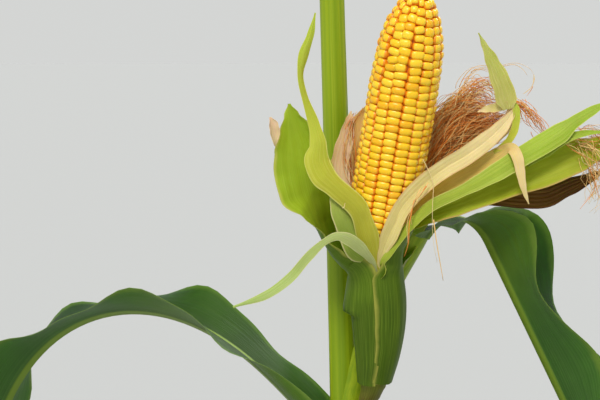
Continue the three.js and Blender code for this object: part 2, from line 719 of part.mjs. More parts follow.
// A side branch starts inside the spike and is cut clear of it. The lower ones are longer and spread wider.
function makeTasselBranch(index) {
  const height = index / (TASSEL_BRANCHES - 1);
  const azimuth = index * GOLDEN_ANGLE;
  const reach = BRANCH_LENGTH * mix(1, 0.75, height);
  const spread = reach * mix(1, 0.55, height);
  const foot = SPIKE_PATH.getPointAt((BRANCH_START + BRANCH_ZONE * height) / SPIKE_LENGTH);
  const path = new THREE.CatmullRomCurve3([
    foot.clone().add(polar(azimuth, BRANCH_RADIUS, 0)),
    foot.clone().add(polar(azimuth, 0.26 * spread, 0.4 * reach)),
    foot.clone().add(polar(azimuth + 6, 0.6 * spread, 0.68 * reach)),
    foot.clone().add(polar(azimuth + 10, 0.92 * spread, mix(0.5, 0.75, height) * reach)),
  ]);
  return taperedRod(path, 5, branchRadius);
}

// Putting the plant together. Each piece is cut clear of the fuller copies of the pieces before it.

const taken = [];

function place(name, makePiece, surface) {
  add(name, cutClear(makePiece(0), taken), surface);
  taken.push(makePiece(CLEARANCE));
}

add("stalk", makeStalk(), FINISHES.stalk);
taken.push(stalkBody(CLEARANCE));

add("ear_kernels", makeEar(), FINISHES.kernel);
taken.push(earClearance());
add("ear_tip_tuft", makeTipTuft(), FINISHES.silk);

place("ear_shank", makeShank, FINISHES.huskGreen);
for (const husk of HUSKS) place(husk.name, (extra) => makeHusk(husk, extra), FINISHES[husk.finish]);
place("ear_leaf_sheath", earLeafSheath, FINISHES.stalk);

for (let joint = FIRST_LEAF; joint <= JOINTS; joint++) {
  for (const [name, solid] of makeLeaf(joint, 0)) add(name, cutClear(solid, taken), FINISHES.leaf);
}
for (const [, solid] of makeLeaf(EAR_JOINT, CLEARANCE)) taken.push(solid);

for (const silk of SILKS) add(silk.name, cutClear(makeSilk(silk), taken), FINISHES.silk);

add("tassel_spike", taperedRod(SPIKE_PATH, 8, spikeRadius), FINISHES.straw);
const spikeClearance = taperedRod(SPIKE_PATH, 8, (t) => spikeRadius(t) + CLEARANCE);
for (let i = 0; i < TASSEL_BRANCHES; i++) {
  add(numbered("tassel_branch", i + 1), cutClear(makeTasselBranch(i), [spikeClearance]), FINISHES.straw);
}

export default plant;
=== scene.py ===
"""A maize plant with one ripe ear in an open husk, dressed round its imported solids.

The plant is drawn in millimetres, +Z up, and each finished piece is scaled to metres. Seen from -Y, the
ear stands in front of the stalk and leans towards +X. Angles are in degrees, and an azimuth turns from
+X towards +Y.
"""

import math
from dataclasses import dataclass

import bmesh
import bpy
import numpy as np
from mathutils import Matrix, Vector


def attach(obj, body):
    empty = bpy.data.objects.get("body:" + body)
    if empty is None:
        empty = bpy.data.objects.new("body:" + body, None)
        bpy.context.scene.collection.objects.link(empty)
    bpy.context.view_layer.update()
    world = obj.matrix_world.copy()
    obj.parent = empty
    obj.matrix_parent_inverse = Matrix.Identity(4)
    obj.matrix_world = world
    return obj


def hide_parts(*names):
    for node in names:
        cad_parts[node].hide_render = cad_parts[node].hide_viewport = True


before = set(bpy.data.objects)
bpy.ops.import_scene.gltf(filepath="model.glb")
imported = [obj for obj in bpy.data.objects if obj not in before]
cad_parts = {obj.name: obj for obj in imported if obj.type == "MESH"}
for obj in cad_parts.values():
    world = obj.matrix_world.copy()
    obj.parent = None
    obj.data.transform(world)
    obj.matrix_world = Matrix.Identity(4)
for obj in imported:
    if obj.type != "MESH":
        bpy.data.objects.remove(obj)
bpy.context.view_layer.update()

METRES = 0.001  # one millimetre
SEED = 7
PHASES = 6.28  # a random phase is up to this, in radians
WELD = 1e-4
FLATTEST_CURL = 1e-4  # below it a section is drawn straight
THREAD_TIP = 0.15  # share of a thread's section that is left at its end
NOISE_ROUGHNESS = 0.55
random = np.random.default_rng(SEED)

# Camera, at the height and angle from which the open ear is seen
CAMERA_AIM = Vector((-0.0464, -0.05, 1.195))
CAMERA_DISTANCE = 1.3
CAMERA_ELEVATION = 5.5
CAMERA_LENS = 110
SENSOR_WIDTH = 36

# Studio
FLOOR_RADIUS = 60  # in metres
FLOOR_TONE = (0.42, 0.425, 0.42, 1)
HORIZON_TONE = (0.658, 0.667, 0.655, 1)
ZENITH_TONE = (0.72, 0.75, 0.78, 1)
ZENITH_FROM = 0.6  # how far up a line of sight 1 long ends where the zenith's tone is reached
SUNS = [
    # name, where it shines from, how many degrees wide it is, strength and tint
    ("key", (-1.0, -3.5, 4.2), 16, 2.15, (1.0, 0.97, 0.91)),
    ("back", (2.2, 3.0, 3.2), 30, 1.2, (1.0, 0.98, 0.93)),
]

# Stalk
JOINTS = 13
SHORTEST_INTERNODE = 45
LONGEST_INTERNODE = 172
INTERNODE_GROWTH = 2.4
FOOT_RADIUS = 13
STALK_TAPER = 0.68
TAPER_POWER = 1.25
LEAN = 45
JOINT_SWELL = 1.6
JOINT_SWELL_REACH = 3.2
JOINT_HALF = 4
RINGS_NEAR_JOINT = [-9, -5, -3, -1, 0, 1, 3, JOINT_HALF, JOINT_HALF + 0.5, 7, 12]
RINGS_NEAR_COLLAR = [-14, -8, -4, -1.5, 0, 0.3, 2, 6]
FIRST_PLAIN_RING = 15
RING_STEP = 24
CLOSEST_RINGS = 8
STALK_SIDES = 48
GROOVES = [(0.12, 18), (0.1, 31)]  # depth, and how many round the stalk
GROOVED_FROM = 60  # height from which they have their full depth
SHEATH_THICKNESS = 1.4
SHEATH_SHARE = 0.97
SHEATH_START = [-1, 6]  # from where to where round its joint a sheath grows to its thickness
SEAM_CLIMB = 30
SEAM_EDGE = 0.45  # share of the thickness at a sheath's outer edge
FLAG_SHEATH_SHARE = 0.6
COLLAR_FLARE = 0.8
COLLAR_HEIGHT = 10
PEDUNCLE = 230
ROOTS_PER_RING = 8
ROOT_SPREADS = [34, 78]
ROOT_RADIUS = 3.3
ROOT_START = 0.3  # share of the stalk's radius
ROOT_ARCH = [0.45, 0.72]  # how far out and how high a root's middle is
ROOT_KNOBS = [0.86, 0.1, 21]  # share of the radius, how far it swells, and how fast along the root
ROOT_MESH = [14, 12]  # rings and sides

# Leaves
FIRST_LEAF = 3
EAR_JOINT = 8
LEAF_LENGTH = 800
LEAF_WIDTH = 88
SHORTENING_BELOW = 0.016
SHORTENING_ABOVE = 0.021
RIGHT_RANK = -38
LEFT_RANK = 146
RANK_WANDER = [16, 2.4, 0]
WIDEST_AT = 0.36
LEAF_TIP = [2.3, 0.9]
TIP_FOLD = 10
MARGIN_DROOP = -8
MARGIN_LAG = -1.26
RIPPLE = 0.11
RIPPLE_FADE = 0.6
FLUTTER_WAVE = [2.7, 1.3]  # how much faster a margin's small waves run than its large ones, and their phase
NARROWEST_LEAF = 0.3
NARROWEST_HALF = 0.4
TURN_WANDER = [14, 1.7, 0]
ROLL_WANDER = [26, 1.1, 0.5]
WAVE_STEP = 1.9
ROLL_FROM = 0.3
STEEPER_ABOVE = [3.2, 4]  # degrees that each leaf above the ear adds at its start and its end
LEAF_GAP = 0.3
LEAF_HABIT = dict(
    start_angle=58, end_angle=-72, bend=(0.04, 0.78), fold_by=(0.04, 0.14), foot_fold=34, mid_fold=30,
    foot_width=0.58, grow_by=0.36, tightest_wrap=1.7, open_by=0.13, ripple_by=0.2, waves=5.5,
    flutter=0.22, crowding=1.15,
)
OWN_HABITS = {
    EAR_JOINT: dict(
        start_angle=56, end_angle=-64, bend=(0.0, 0.075), fold_by=(0.03, 0.075), foot_fold=-34,
        mid_fold=56, foot_width=0.55, grow_by=0.1, tightest_wrap=0.5, open_by=0.055, ripple_by=0.02,
        waves=6.7, wave_phase=4.1, azimuth=-10, turn=8, roll=0, flutter=0.05, crowding=1.6,
    ),
    EAR_JOINT - 1: dict(start_angle=42, bend=(0.04, 0.5)),
    EAR_JOINT - 2: dict(start_angle=46, bend=(0.04, 0.55)),
}
LEAF_ROWS = 96
LEAF_COLUMNS = 20
FINE_STEPS = 960
BLADE_THICKNESS = 0.5
BLADE_THINNING = 0.5  # how much thinner the margins are, as a share
RIB_THICKNESS = 3.2
RIB_HALF_WIDTH = 2.6

EAR_LEAF_COLLAR = Vector((44, -22, 1165))
EAR_SHEATH_BELLY = Vector((20, -21, 1118))
EAR_SHEATH_WIDTH = 42
EAR_SHEATH_AZIMUTH = -30
EAR_SHEATH_CURL = 1.25
EAR_SHEATH_THICKNESS = 1.5
EAR_SHEATH_STAND_OFF = 2
EAR_SHEATH_MESH = [30, 18]  # rows and columns

# Ear
EAR_BASE = Vector((7, -44, 1151))
EAR_TIP = Vector((36.5, -69, 1342))
EAR_RADIUS = 24.6
EAR_FOOT_SHARE = 0.66
EAR_FULL = 0.2
EAR_TAPER_FROM = 0.6
EAR_TAPER_REACH = 0.42
EAR_TAPER = [3.2, 0.75]
KERNEL_ROWS = 16
KERNELS_PER_ROW = 38
KERNEL_CROWDING = 0.12
KERNEL_DEPTH = 8.5
KERNEL_BOX = 3.5  # power that sets how square a kernel is
KERNEL_DIMPLE = [0.05, 6]  # how deep and how narrow it is
KERNEL_FOOT = 0.72  # how wide a kernel is inside the ear
KERNEL_WEDGE = [-1, 0.3]  # from which height to which it grows to its full width
KERNEL_WIDTH = 1.09  # share of the room that a kernel has
KERNEL_HEIGHT = [1.13, 1.17]
KERNEL_CROWN = 0.2  # how far the crowns stand out over the ear's radius
KERNEL_FLANK = 0.35  # a face that looks outwards less than this is on a kernel's flank
KERNEL_LAST = 0.995  # share of the ear's length
KERNEL_REACH = 0.9  # share of the ear's radius that a kernel is deep at the most
KERNEL_SLOPE_STEP = 0.02
KERNEL_SHARES = [0.45, 0.43, 0.12]  # of the first three tones
FLANK_AND_GAP_SHADE_TONE = 3
ROW_LEAN = 0.35
ROW_WAVES = 5
WILD_ROWS = [0.45, 0.9]  # from where to where along the ear its rows grow wild
KERNEL_STRAY = {
    # how unlike its neighbours a kernel is, where the rows are even and where they grow wild
    "turn": (0.3, 1.5), "radius": (0.15, 0.4), "roll": (1.5, 7.5), "size": (0.03, 0.12),
}
COB_DEPTH = 3.4
COB_TIP = 0.6
COB_MESH = [40, 48]
HUSK_CLEARANCE = 0.7
CLEAR_FROM = -0.2  # share of the ear's length from which up the husk is moved off it
TUFT_THREADS = 70
TUFT_FOOT = 0.985
TUFT_START = [0.5, 4.5]  # how far off the axis
TUFT_REACH = [9, 19]
TUFT_BEND = [-1.5, 3.5]
TUFT_DRIFT = [0, 4]
TUFT_POINTS = 7
TUFT_GIRTH = [0.25, 0.5]
TUFT_SHARES = [0.2, 0.2, 0.5, 0.1]  # of the silk's tones

# Shank
SHANK_RING = Vector((8, -36, 1065))
SHANK_RADII = [7.2, 7, 7.4, 9.4, 12, 14.6, 16.4, 17.2, 17, 16.2]
SHANK_SEAT = 3  # how far its side goes into the stalk
SHANK_GAP = 0.3
SHANK_BULGE = 4
SHANK_BEND = (0.55, Vector((2.5, -1, 0)))  # where its upper part bends, and how far
SHANK_MESH = [56, 32]
SHANK_RINGS = 13
SHANK_RIDGE = 0.5
SHANK_BARE = [0.3, 0.4]  # from where to where along the shank its ridges end
SHANK_WRAP = [0.32, 0.42]  # from where to where the husk begins to wrap it
SHANK_INSET = [0.2, 1.6]  # how much slimmer it is drawn, below the wrap and in it

# Tassel
SPIKE_LENGTH = 320
SPIKE_GAP = 0.3
SPIKE_HABIT = [1.5, 0.3, 3.6, 4]  # radius, bare share, pitch of the flower rings and how many a ring has
BRANCH_HABIT = [0.9, 0.12, 4.4, 2]
STEM_TIP = 0.45
STEM_MESH = [24, 6]
STRAW_SHARES = [0.5, 0.3, 0.2]
SPIKELET_LENGTH = 9.5
SPIKELET_SECTION = [0.26, 0.2]
SPIKELET_STAND_OFF = 0.8
SPIKELET_LAST = 0.6  # how long the last one on a stem is, as a share
SPIKELET_SIZES = [0.8, 1.15]
SPIKELET_LEAN = [0.3, 0.6]
SPIKELET_WANDER = 18  # degrees round its stem
TASSEL_BRANCHES = 11
BRANCH_START = 8
BRANCH_ZONE = 90
BRANCH_LENGTH = 215
HIGHEST_BRANCH = [0.75, 0.55]  # how long it is and how wide it spreads, as shares of the lowest one
BRANCH_SHAPE = [
    # how far it has turned, how far out it is, and how high, on the lowest and on the highest branch
    (0, 0.26, (0.4, 0.4)), (6, 0.6, (0.68, 0.68)), (10, 0.92, (0.5, 0.75)),
]
GOLDEN_ANGLE = 137.5


# Maths


def mix(a, b, t):
    return a + (b - a) * t


def smooth(low, high, x):
    t = min(1.0, max(0.0, (x - low) / (high - low)))
    return t * t * (3 - 2 * t)


def polar(azimuth, distance, z):
    a = math.radians(azimuth)
    return Vector((math.cos(a) * distance, math.sin(a) * distance, z))


def perpendicular(v, axis):
    """The part of v that is square to the axis, at length 1."""
    return (v - axis * v.dot(axis)).normalized()


def turned(v, axis, degrees):
    return Matrix.Rotation(math.radians(degrees), 3, axis) @ v


def wander(habit, joint):
    """A value that swings from joint to joint. habit is how far, how fast and from which phase."""
    amount, rate, phase = habit
    return amount * math.sin(rate * joint + phase)


class Path:
    """A smooth centripetal curve through points, as the source draws its curves."""

    STEPS = 200
    LEAST_SPAN = 1e-3

    def __init__(self, points):
        self.points = [Vector(p) for p in points]
        samples = [self.point(i / self.STEPS) for i in range(self.STEPS + 1)]
        steps = [0.0] + [(b - a).length for a, b in zip(samples, samples[1:])]
        self.lengths = np.cumsum(steps)
        self.length = float(self.lengths[-1])

    def point(self, t):
        points = self.points
        last = len(points) - 1
        place = min(max(t, 0.0), 1.0) * last
        low = min(last - 1, int(place))
        p1, p2 = points[low], points[low + 1]
        p0 = points[low - 1] if low > 0 else 2 * p1 - p2
        p3 = points[low + 2] if low + 2 <= last else 2 * p2 - p1
        spans = (p0, p1), (p1, p2), (p2, p3)
        d0, d1, d2 = [max(self.LEAST_SPAN, (b - a).length ** 0.5) for a, b in spans]
        start = ((p1 - p0) / d0 - (p2 - p0) / (d0 + d1) + (p2 - p1) / d1) * d1
        end = ((p2 - p1) / d1 - (p3 - p1) / (d1 + d2) + (p3 - p2) / d2) * d1
        w = place - low
        rest = -3 * p1 + 3 * p2 - 2 * start - end
        return p1 + start * w + rest * w**2 + (2 * p1 - 2 * p2 + start + end) * w**3

    def at(self, share):
        """The point at that share of the length."""
        return self.point(self.place(share))

    def place(self, share):
        return float(np.interp(share * self.length, self.lengths, np.linspace(0, 1, self.STEPS + 1)))

    def tangent(self, t):
        step = 1e-3
        return (self.point(t + step) - self.point(t - step)).normalized()


@dataclass
class Frame:
    """One cross-section's place on a blade."""

    point: Vector
    along: Vector
    across: Vector
    up: Vector
    t: float


@dataclass
class Section:
    """One cross-section's shape: half width, slope at the midrib and on to the margin, and lift."""

    half: float
    fold: float
    curl: float
    lift: float = 0.0


# Meshes


def flat_sheet(rows, columns):
    """A flat grid, x across and y along from -1 to 1, with its place kept in the UV map."""
    bm = bmesh.new()
    bmesh.ops.create_grid(bm, x_segments=columns, y_segments=rows, size=1)
    uv = bm.loops.layers.uv.new("blade")
    for face in bm.faces:
        for loop in face.loops:
            loop[uv].uv = ((1 + loop.vert.co.x) / 2, (1 + loop.vert.co.y) / 2)
    return bm


def is_lower(vert):
    """True for a corner of a slab's lower copy, before the slab is shaped."""
    return vert.co.z < -0.5


def thicken(bm):
    """Turns a flat sheet into a closed slab whose lower copy lies at z = -1, with sharp margins.

    The lower side and the margins take the second material.
    """
    made = bmesh.ops.extrude_face_region(bm, geom=bm.faces[:], use_keep_orig=True)
    lower = [part for part in made["geom"] if isinstance(part, bmesh.types.BMVert)]
    bmesh.ops.translate(bm, verts=lower, vec=(0, 0, -1))
    for face in bm.faces:
        face.material_index = int(any(is_lower(vert) for vert in face.verts))
    bmesh.ops.recalc_face_normals(bm, faces=bm.faces[:])
    for edge in bm.edges:
        flat = [abs(face.normal.z) > 0.5 for face in edge.link_faces]
        edge.smooth = all(flat) or not any(flat)


def mesh_from(name, bm):
    mesh = bpy.data.meshes.new(name)
    bm.to_mesh(mesh)
    bm.free()
    return mesh


def placed(name, data):
    """A new object in the scene that shows a mesh, a light or a camera."""
    made = bpy.data.objects.new(name, data)
    bpy.context.scene.collection.objects.link(made)
    return made


def finished(name, bm, materials, slot, nodes=()):
    """Makes a bmesh a piece of the plant, as piece_of does with a mesh."""
    piece_of(name, mesh_from(name, bm), materials, slot, nodes)


def piece_of(name, mesh, materials, slot, nodes=()):
    """Puts a mesh on the plant, in metres. It stands for the named solids, or for one of its own name."""
    mesh.transform(Matrix.Scale(METRES, 4))
    for material in materials:
        mesh.materials.append(material)
    mesh.shade_smooth()
    piece = placed(name, mesh)
    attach(piece, "root")
    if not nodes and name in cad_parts:
        nodes = [name]
    if nodes:
        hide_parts(*nodes)


def section_place(section, s):
    """Where a section is at a share s of its half width: how far out and how high, in millimetres."""
    end = section.fold + section.curl * s
    if abs(section.curl) < FLATTEST_CURL:
        return section.half * s * math.cos(section.fold), section.half * s * math.sin(section.fold)
    outward = (math.sin(end) - math.sin(section.fold)) / section.curl
    height = (math.cos(section.fold) - math.cos(end)) / section.curl
    return section.half * outward, section.half * height


def blade(spine, columns, section_at, depth_at, clear=None, shown_at=None):
    """A closed thin blade along a spine of frames.

    clear moves a point off what it would lie in, and shown_at changes how far along the finish is drawn.
    """
    bm = flat_sheet(len(spine) - 1, columns)
    thicken(bm)
    if shown_at:
        uv = bm.loops.layers.uv["blade"]
        for face in bm.faces:
            for loop in face.loops:
                loop[uv].uv = (loop[uv].uv.x, shown_at(loop[uv].uv.y))
    for vert in bm.verts:
        s = -vert.co.x
        frame_here = spine[round((1 + vert.co.y) / 2 * (len(spine) - 1))]
        section = section_at(frame_here.t, s)
        outward, height = section_place(section, abs(s))
        slope = section.fold + section.curl * abs(s)
        side = math.copysign(1, s)
        top = frame_here.point + frame_here.across * (side * outward)
        top += frame_here.up * (height + section.lift)
        shift = clear(top) if clear else Vector()
        depth = depth_at(frame_here.t, s, section) if is_lower(vert) else 0.0
        down = frame_here.across * (side * math.sin(slope)) - frame_here.up * math.cos(slope)
        vert.co = top + shift + down * depth
    bm.normal_update()
    bmesh.ops.recalc_face_normals(bm, faces=bm.faces[:])
    return bm


def rolled(rings, sides, point_at):
    """A closed tube: a sheet rolled up, welded along its seam and capped.

    point_at(row, share) places the point at that share of the way round.
    """
    bm = flat_sheet(rings - 1, sides)
    for vert in bm.verts:
        vert.co = point_at(round((1 + vert.co.y) / 2 * (rings - 1)), (1 + vert.co.x) / 2)
    bmesh.ops.remove_doubles(bm, verts=bm.verts[:], dist=WELD)
    ends = [edge for edge in bm.edges if edge.is_boundary]
    bmesh.ops.holes_fill(bm, edges=ends, sides=sides)
    bmesh.ops.recalc_face_normals(bm, faces=bm.faces[:])
    return bm


def rod(path, rings, sides, radius_at):
    """A tube along a path, round in section."""
    side = perpendicular(Vector((0.3, 0.9, 0.31)), path.tangent(0))
    frames = []
    for row in range(rings):
        t = path.place(row / (rings - 1))
        along = path.tangent(t)
        side = perpendicular(side, along)
        frames.append((path.point(t), side, along.cross(side)))

    def place(row, share):
        point, normal, binormal = frames[row]
        angle = 2 * math.pi * share
        radius = radius_at(row / (rings - 1))
        return point + (normal * math.cos(angle) + binormal * math.sin(angle)) * radius

    return rolled(rings, sides, place)


def arrays_of(bm):
    """A small mesh as corner and face lists, to be copied many times over."""
    bm.normal_update()
    bm.verts.index_update()
    corners = np.array([vert.co for vert in bm.verts])
    faces = [[vert.index for vert in face.verts] for face in bm.faces]
    normals = np.array([face.normal for face in bm.faces])
    bm.free()
    return corners, faces, normals


def placing_of(axes, centre):
    """The 4x4 array that puts a copy at a centre and stretches it along three axes."""
    placing = np.identity(4)
    for column, axis in enumerate(axes):
        placing[:3, column] = axis
    placing[:3, 3] = centre
    return placing


def scattered(name, template, placings, tones):
    """One mesh of many copies. placings are 4x4 arrays, and tones give each copy's faces their material."""
    corners, faces, _ = template
    placings = np.array(placings)
    turned_corners = np.einsum("nij,vj->nvi", placings[:, :3, :3], corners)
    points = (turned_corners + placings[:, None, :3, 3]).reshape(-1, 3)
    copies = np.arange(len(placings)) * len(corners)
    all_faces = [[corner + start for corner in face] for start in copies for face in faces]
    mesh = bpy.data.meshes.new(name)
    mesh.from_pydata(points, [], all_faces)
    mesh.polygons.foreach_set("material_index", np.array(tones, dtype=np.int32).ravel())
    mesh.update()
    return mesh


def strands(name, paths, radii, sides=3):
    """One mesh of many fine threads, and how many faces each has.

    paths is threads x points x 3, and radii gives one radius per thread.
    """
    paths = np.array(paths)
    count, points, _ = paths.shape
    along = np.gradient(paths, axis=1)
    along /= np.linalg.norm(along, axis=2, keepdims=True)
    side = np.cross(along, np.array([0.31, 0.22, 0.93]))
    side /= np.linalg.norm(side, axis=2, keepdims=True)
    other = np.cross(along, side)
    taper = np.sqrt(np.linspace(1, THREAD_TIP, points))[None, :, None, None]
    angles = 2 * np.pi * np.arange(sides) / sides
    ring = side[:, :, None, :] * np.cos(angles)[None, None, :, None]
    ring = ring + other[:, :, None, :] * np.sin(angles)[None, None, :, None]
    corners = paths[:, :, None, :] + ring * np.array(radii)[:, None, None, None] * taper
    faces = []
    for row in range(points - 1):
        for k in range(sides):
            a, b = row * sides + k, row * sides + (k + 1) % sides
            faces.append([a, b, b + sides, a + sides])
    faces.append(list(range(sides))[::-1])
    faces.append([(points - 1) * sides + k for k in range(sides)])
    starts = np.arange(count) * points * sides
    mesh = bpy.data.meshes.new(name)
    mesh.from_pydata(corners.reshape(-1, 3), [], [[c + s for c in f] for s in starts for f in faces])
    mesh.update()
    return mesh, len(faces)


# Materials


def colour(red, green, blue):
    """A linear colour from everyday 0 to 255 values."""
    shares = [c / 255 for c in (red, green, blue)]
    return tuple(c / 12.92 if c <= 0.04045 else ((c + 0.055) / 1.055) ** 2.4 for c in shares) + (1.0,)


class Nodes:
    """The nodes of a material or a backdrop: short ways to add and join them."""

    def __init__(self, owner):
        owner.use_nodes = True
        self.tree = owner.node_tree

    def set(self, made, inputs):
        for key, value in inputs.items():
            socket = made.inputs[key]
            if isinstance(value, bpy.types.NodeSocket):
                self.tree.links.new(value, socket)
            else:
                socket.default_value = value

    def add(self, kind, inputs=None, **settings):
        made = self.tree.nodes.new("ShaderNode" + kind)
        for key, value in settings.items():
            setattr(made, key, value)
        self.set(made, inputs or {})
        return made

    def maths(self, operation, a, b=0.0):
        return self.add("Math", {0: a, 1: b}, operation=operation).outputs[0]

    def ramp(self, value, low, high):
        """0 at low and 1 at high, with soft ends."""
        inputs = {"Value": value, "From Min": low, "From Max": high}
        made = self.add("MapRange", inputs, interpolation_type="SMOOTHSTEP")
        return made.outputs["Result"]

    def blend(self, share, a, b):
        return self.add("Mix", {0: share, 6: a, 7: b}, data_type="RGBA").outputs[2]

    def wash(self, tone, mask, low, high, strength, over):
        """Lays a tone over another one, where the mask goes from low to high."""
        share = self.maths("MULTIPLY", self.ramp(mask, low, high), strength)
        return self.blend(share, tone, colour(*over))

    def noise(self, vector, scale, detail):
        inputs = {"Vector": vector, "Scale": scale, "Detail": detail, "Roughness": NOISE_ROUGHNESS}
        return self.add("TexNoise", inputs).outputs["Fac"]

    def scaled(self, vector, scale):
        return self.add("Mapping", {"Vector": vector, "Scale": scale}).outputs["Vector"]

    def object_place(self):
        return self.add("TexCoord").outputs["Object"]

    def blade_place(self):
        """The blade's UV map as a vector, its share along, and its distance from the midrib, 0 to 1."""
        place = self.add("UVMap", uv_map="blade").outputs["UV"]
        parts = self.add("SeparateXYZ", {0: place})
        off_centre = self.maths("SUBTRACT", parts.outputs["X"], 0.5)
        return place, parts.outputs["Y"], self.maths("MULTIPLY", self.maths("ABSOLUTE", off_centre), 2.0)


class Finish(Nodes):
    """A material under construction."""

    def __init__(self, name, roughness, **settings):
        self.material = bpy.data.materials.new(name)
        super().__init__(self.material)
        self.shader = self.tree.nodes["Principled BSDF"]
        self.set(self.shader, {"Roughness": roughness, **settings})

    def bump(self, height, strength, distance):
        made = self.add("Bump", {"Height": height, "Strength": strength, "Distance": distance})
        self.set(self.shader, {"Normal": made.outputs["Normal"]})

    def paint(self, base):
        self.set(self.shader, {"Base Color": base})
        return self.material


LEAFY = {"Subsurface Radius": (0.6, 1.0, 0.25), "Subsurface Scale": 0.002, "Specular IOR Level": 0.16}
JUICY = {
    "Subsurface Weight": 0.25, "Subsurface Radius": (1.0, 0.45, 0.1), "Subsurface Scale": 0.0016,
    "Coat Weight": 0.22, "Coat Roughness": 0.22, "Specular IOR Level": 0.35,
}


def veined(name, foot, base, light, tip, margin, veins, rib=None, roughness=0.5, soft=0.15, relief=0.5):
    """The finish of a leaf. Its tone changes from the foot to the tip and at the margins.

    veins is how many veins lie side by side, rib is the midrib's half width as a share, and its tone, and
    relief is how strongly the veins stand out.
    """
    finish = Finish(name, roughness, **dict(LEAFY, **{"Subsurface Weight": soft}))
    place, along, across = finish.blade_place()
    fine = finish.noise(finish.scaled(place, (veins, 4, 1)), 1.0, 2.0)
    broad = finish.noise(finish.scaled(place, (veins / 6, 2.5, 1)), 1.0, 3.0)
    patch = finish.noise(finish.object_place(), 30.0, 4.0)
    tone = finish.blend(finish.ramp(along, 0.4, 1.0), colour(*base), colour(*tip))
    tone = finish.blend(finish.ramp(along, 0.34, 0.2), tone, colour(*foot))
    tone = finish.wash(tone, fine, 0.46, 0.62, 0.6, light)
    tone = finish.wash(tone, broad, 0.5, 0.72, 0.45, light)
    tone = finish.wash(tone, patch, 0.3, 0.7, 0.35, [0.78 * c for c in base])
    uneven = finish.maths("MULTIPLY", finish.maths("SUBTRACT", patch, 0.5), 0.3)
    edge = finish.maths("ADD", across, uneven)
    tone = finish.blend(finish.ramp(edge, 0.86, 1.0), tone, colour(*margin))
    if rib:
        half, rib_tone = rib
        tone = finish.blend(finish.ramp(across, half * 1.35, half * 0.75), tone, colour(*rib_tone))
    finish.bump(finish.maths("ADD", fine, broad), relief, 0.0006)
    return finish.paint(tone)


def stalk_finish():
    finish = Finish("stalk rind", 0.45, **{"Specular IOR Level": 0.25})
    place, _, _ = finish.blade_place()
    ribs = finish.noise(finish.scaled(place, (130, 9, 1)), 1.0, 2.0)
    streaks = finish.noise(finish.scaled(place, (16, 14, 1)), 1.0, 3.0)
    tone = finish.blend(finish.ramp(streaks, 0.35, 0.7), colour(124, 152, 16), colour(152, 172, 22))
    tone = finish.wash(tone, ribs, 0.5, 0.75, 0.45, (166, 184, 56))
    finish.bump(finish.maths("ADD", ribs, streaks), 0.3, 0.0005)
    return finish.paint(tone)


def plains(kind, tones, grain=400.0, bump=0.0003, **settings):
    """Finishes of one tone each with a fine grain in them, for pieces of many small things."""
    made = []
    for name, tone, roughness in tones:
        finish = Finish(f"{kind} {name}", roughness, **settings)
        finish.bump(finish.noise(finish.object_place(), grain, 2.0), 0.3, bump)
        made.append(finish.paint(colour(*tone)))
    return made


STALK = stalk_finish()
# The upper face's tones are the leaf's darker green with painted shade in them; the underside below is
# paler.
LEAF = veined(
    "leaf", (48, 80, 8), (22, 52, 2), (36, 72, 8), (44, 80, 12), (76, 106, 28), 150,
    rib=(0.07, (132, 158, 66)), roughness=0.45,
)
LEAF_UNDER = veined(
    "leaf underside", (84, 110, 24), (58, 94, 34), (80, 116, 50), (78, 108, 40), (100, 122, 48), 150,
    rib=(0.09, (120, 146, 46)), roughness=0.5,
)
GREEN_FOOT = (66, 92, 8)
HUSK_FINISHES = {
    # tones at the foot, further up, of the veins, at the tip and at the margins, and how many veins
    "outer": (GREEN_FOOT, (84, 112, 16), (110, 134, 34), (116, 136, 26), (150, 152, 62), 100),
    # The "green" finish holds painted light: its pale, bluish foot tone is a painted sky reflection that
    # lifts the shaded hollow, and its brighter tip is painted light.
    "green": ((124, 156, 60), (140, 164, 36), (160, 182, 54), (154, 174, 28), (180, 186, 84), 90),
    "lance": (GREEN_FOOT, (180, 176, 48), (196, 196, 84), (164, 180, 54), (200, 198, 104), 60),
    "middle": (GREEN_FOOT, (140, 162, 58), (164, 180, 84), (170, 180, 82), (206, 200, 136), 60),
    "ribbon": (GREEN_FOOT, (178, 186, 112), (200, 204, 152), (148, 176, 76), (200, 200, 140), 40),
    "strap": (GREEN_FOOT, (150, 164, 44), (180, 192, 84), (142, 172, 40), (190, 196, 100), 60),
    "olive": (GREEN_FOOT, (142, 156, 14), (166, 174, 40), (156, 160, 30), (178, 146, 80), 70),
    "cream": ((160, 166, 50), (212, 196, 112), (236, 222, 162), (240, 212, 158), (218, 180, 120), 60),
    "ochre": (GREEN_FOOT, (218, 176, 52), (234, 204, 100), (218, 202, 168), (214, 180, 108), 50),
    "tips": (GREEN_FOOT, (180, 174, 88), (206, 198, 134), (168, 178, 74), (196, 186, 112), 50),
    "beige": (GREEN_FOOT, (228, 184, 110), (242, 210, 150), (230, 184, 130), (232, 192, 150), 80),
    "blush": (GREEN_FOOT, (226, 198, 152), (240, 220, 190), (228, 184, 152), (232, 200, 172), 50),
    # The "dried" finish is a dried brown husk with painted shade: its near-black tip and margin tones stand
    # for the shade it lies in.
    "dried": ((116, 104, 20), (120, 80, 20), (150, 100, 36), (48, 16, 8), (70, 34, 12), 50),
}
HUSK = {
    name: veined(f"husk {name}", *tones, soft=0.05 if name == "dried" else 0.2, relief=0.2)
    for name, tones in HUSK_FINISHES.items()
}
SHANK = veined(
    "shank", (96, 84, 30), (104, 112, 30), (128, 132, 44), (124, 134, 42), (120, 96, 40), 60,
)
KERNEL_TONES = plains("kernel", [
    ("gold", (252, 200, 22), 0.34), ("yellow", (254, 208, 42), 0.34),
    # The flank tone on the kernels' sides is their deeper orange, and also painted shade in the gaps
    # between kernels.
    ("amber", (246, 184, 12), 0.34), ("flank", (236, 150, 18), 0.4),
], 260.0, 0.0002, **JUICY)
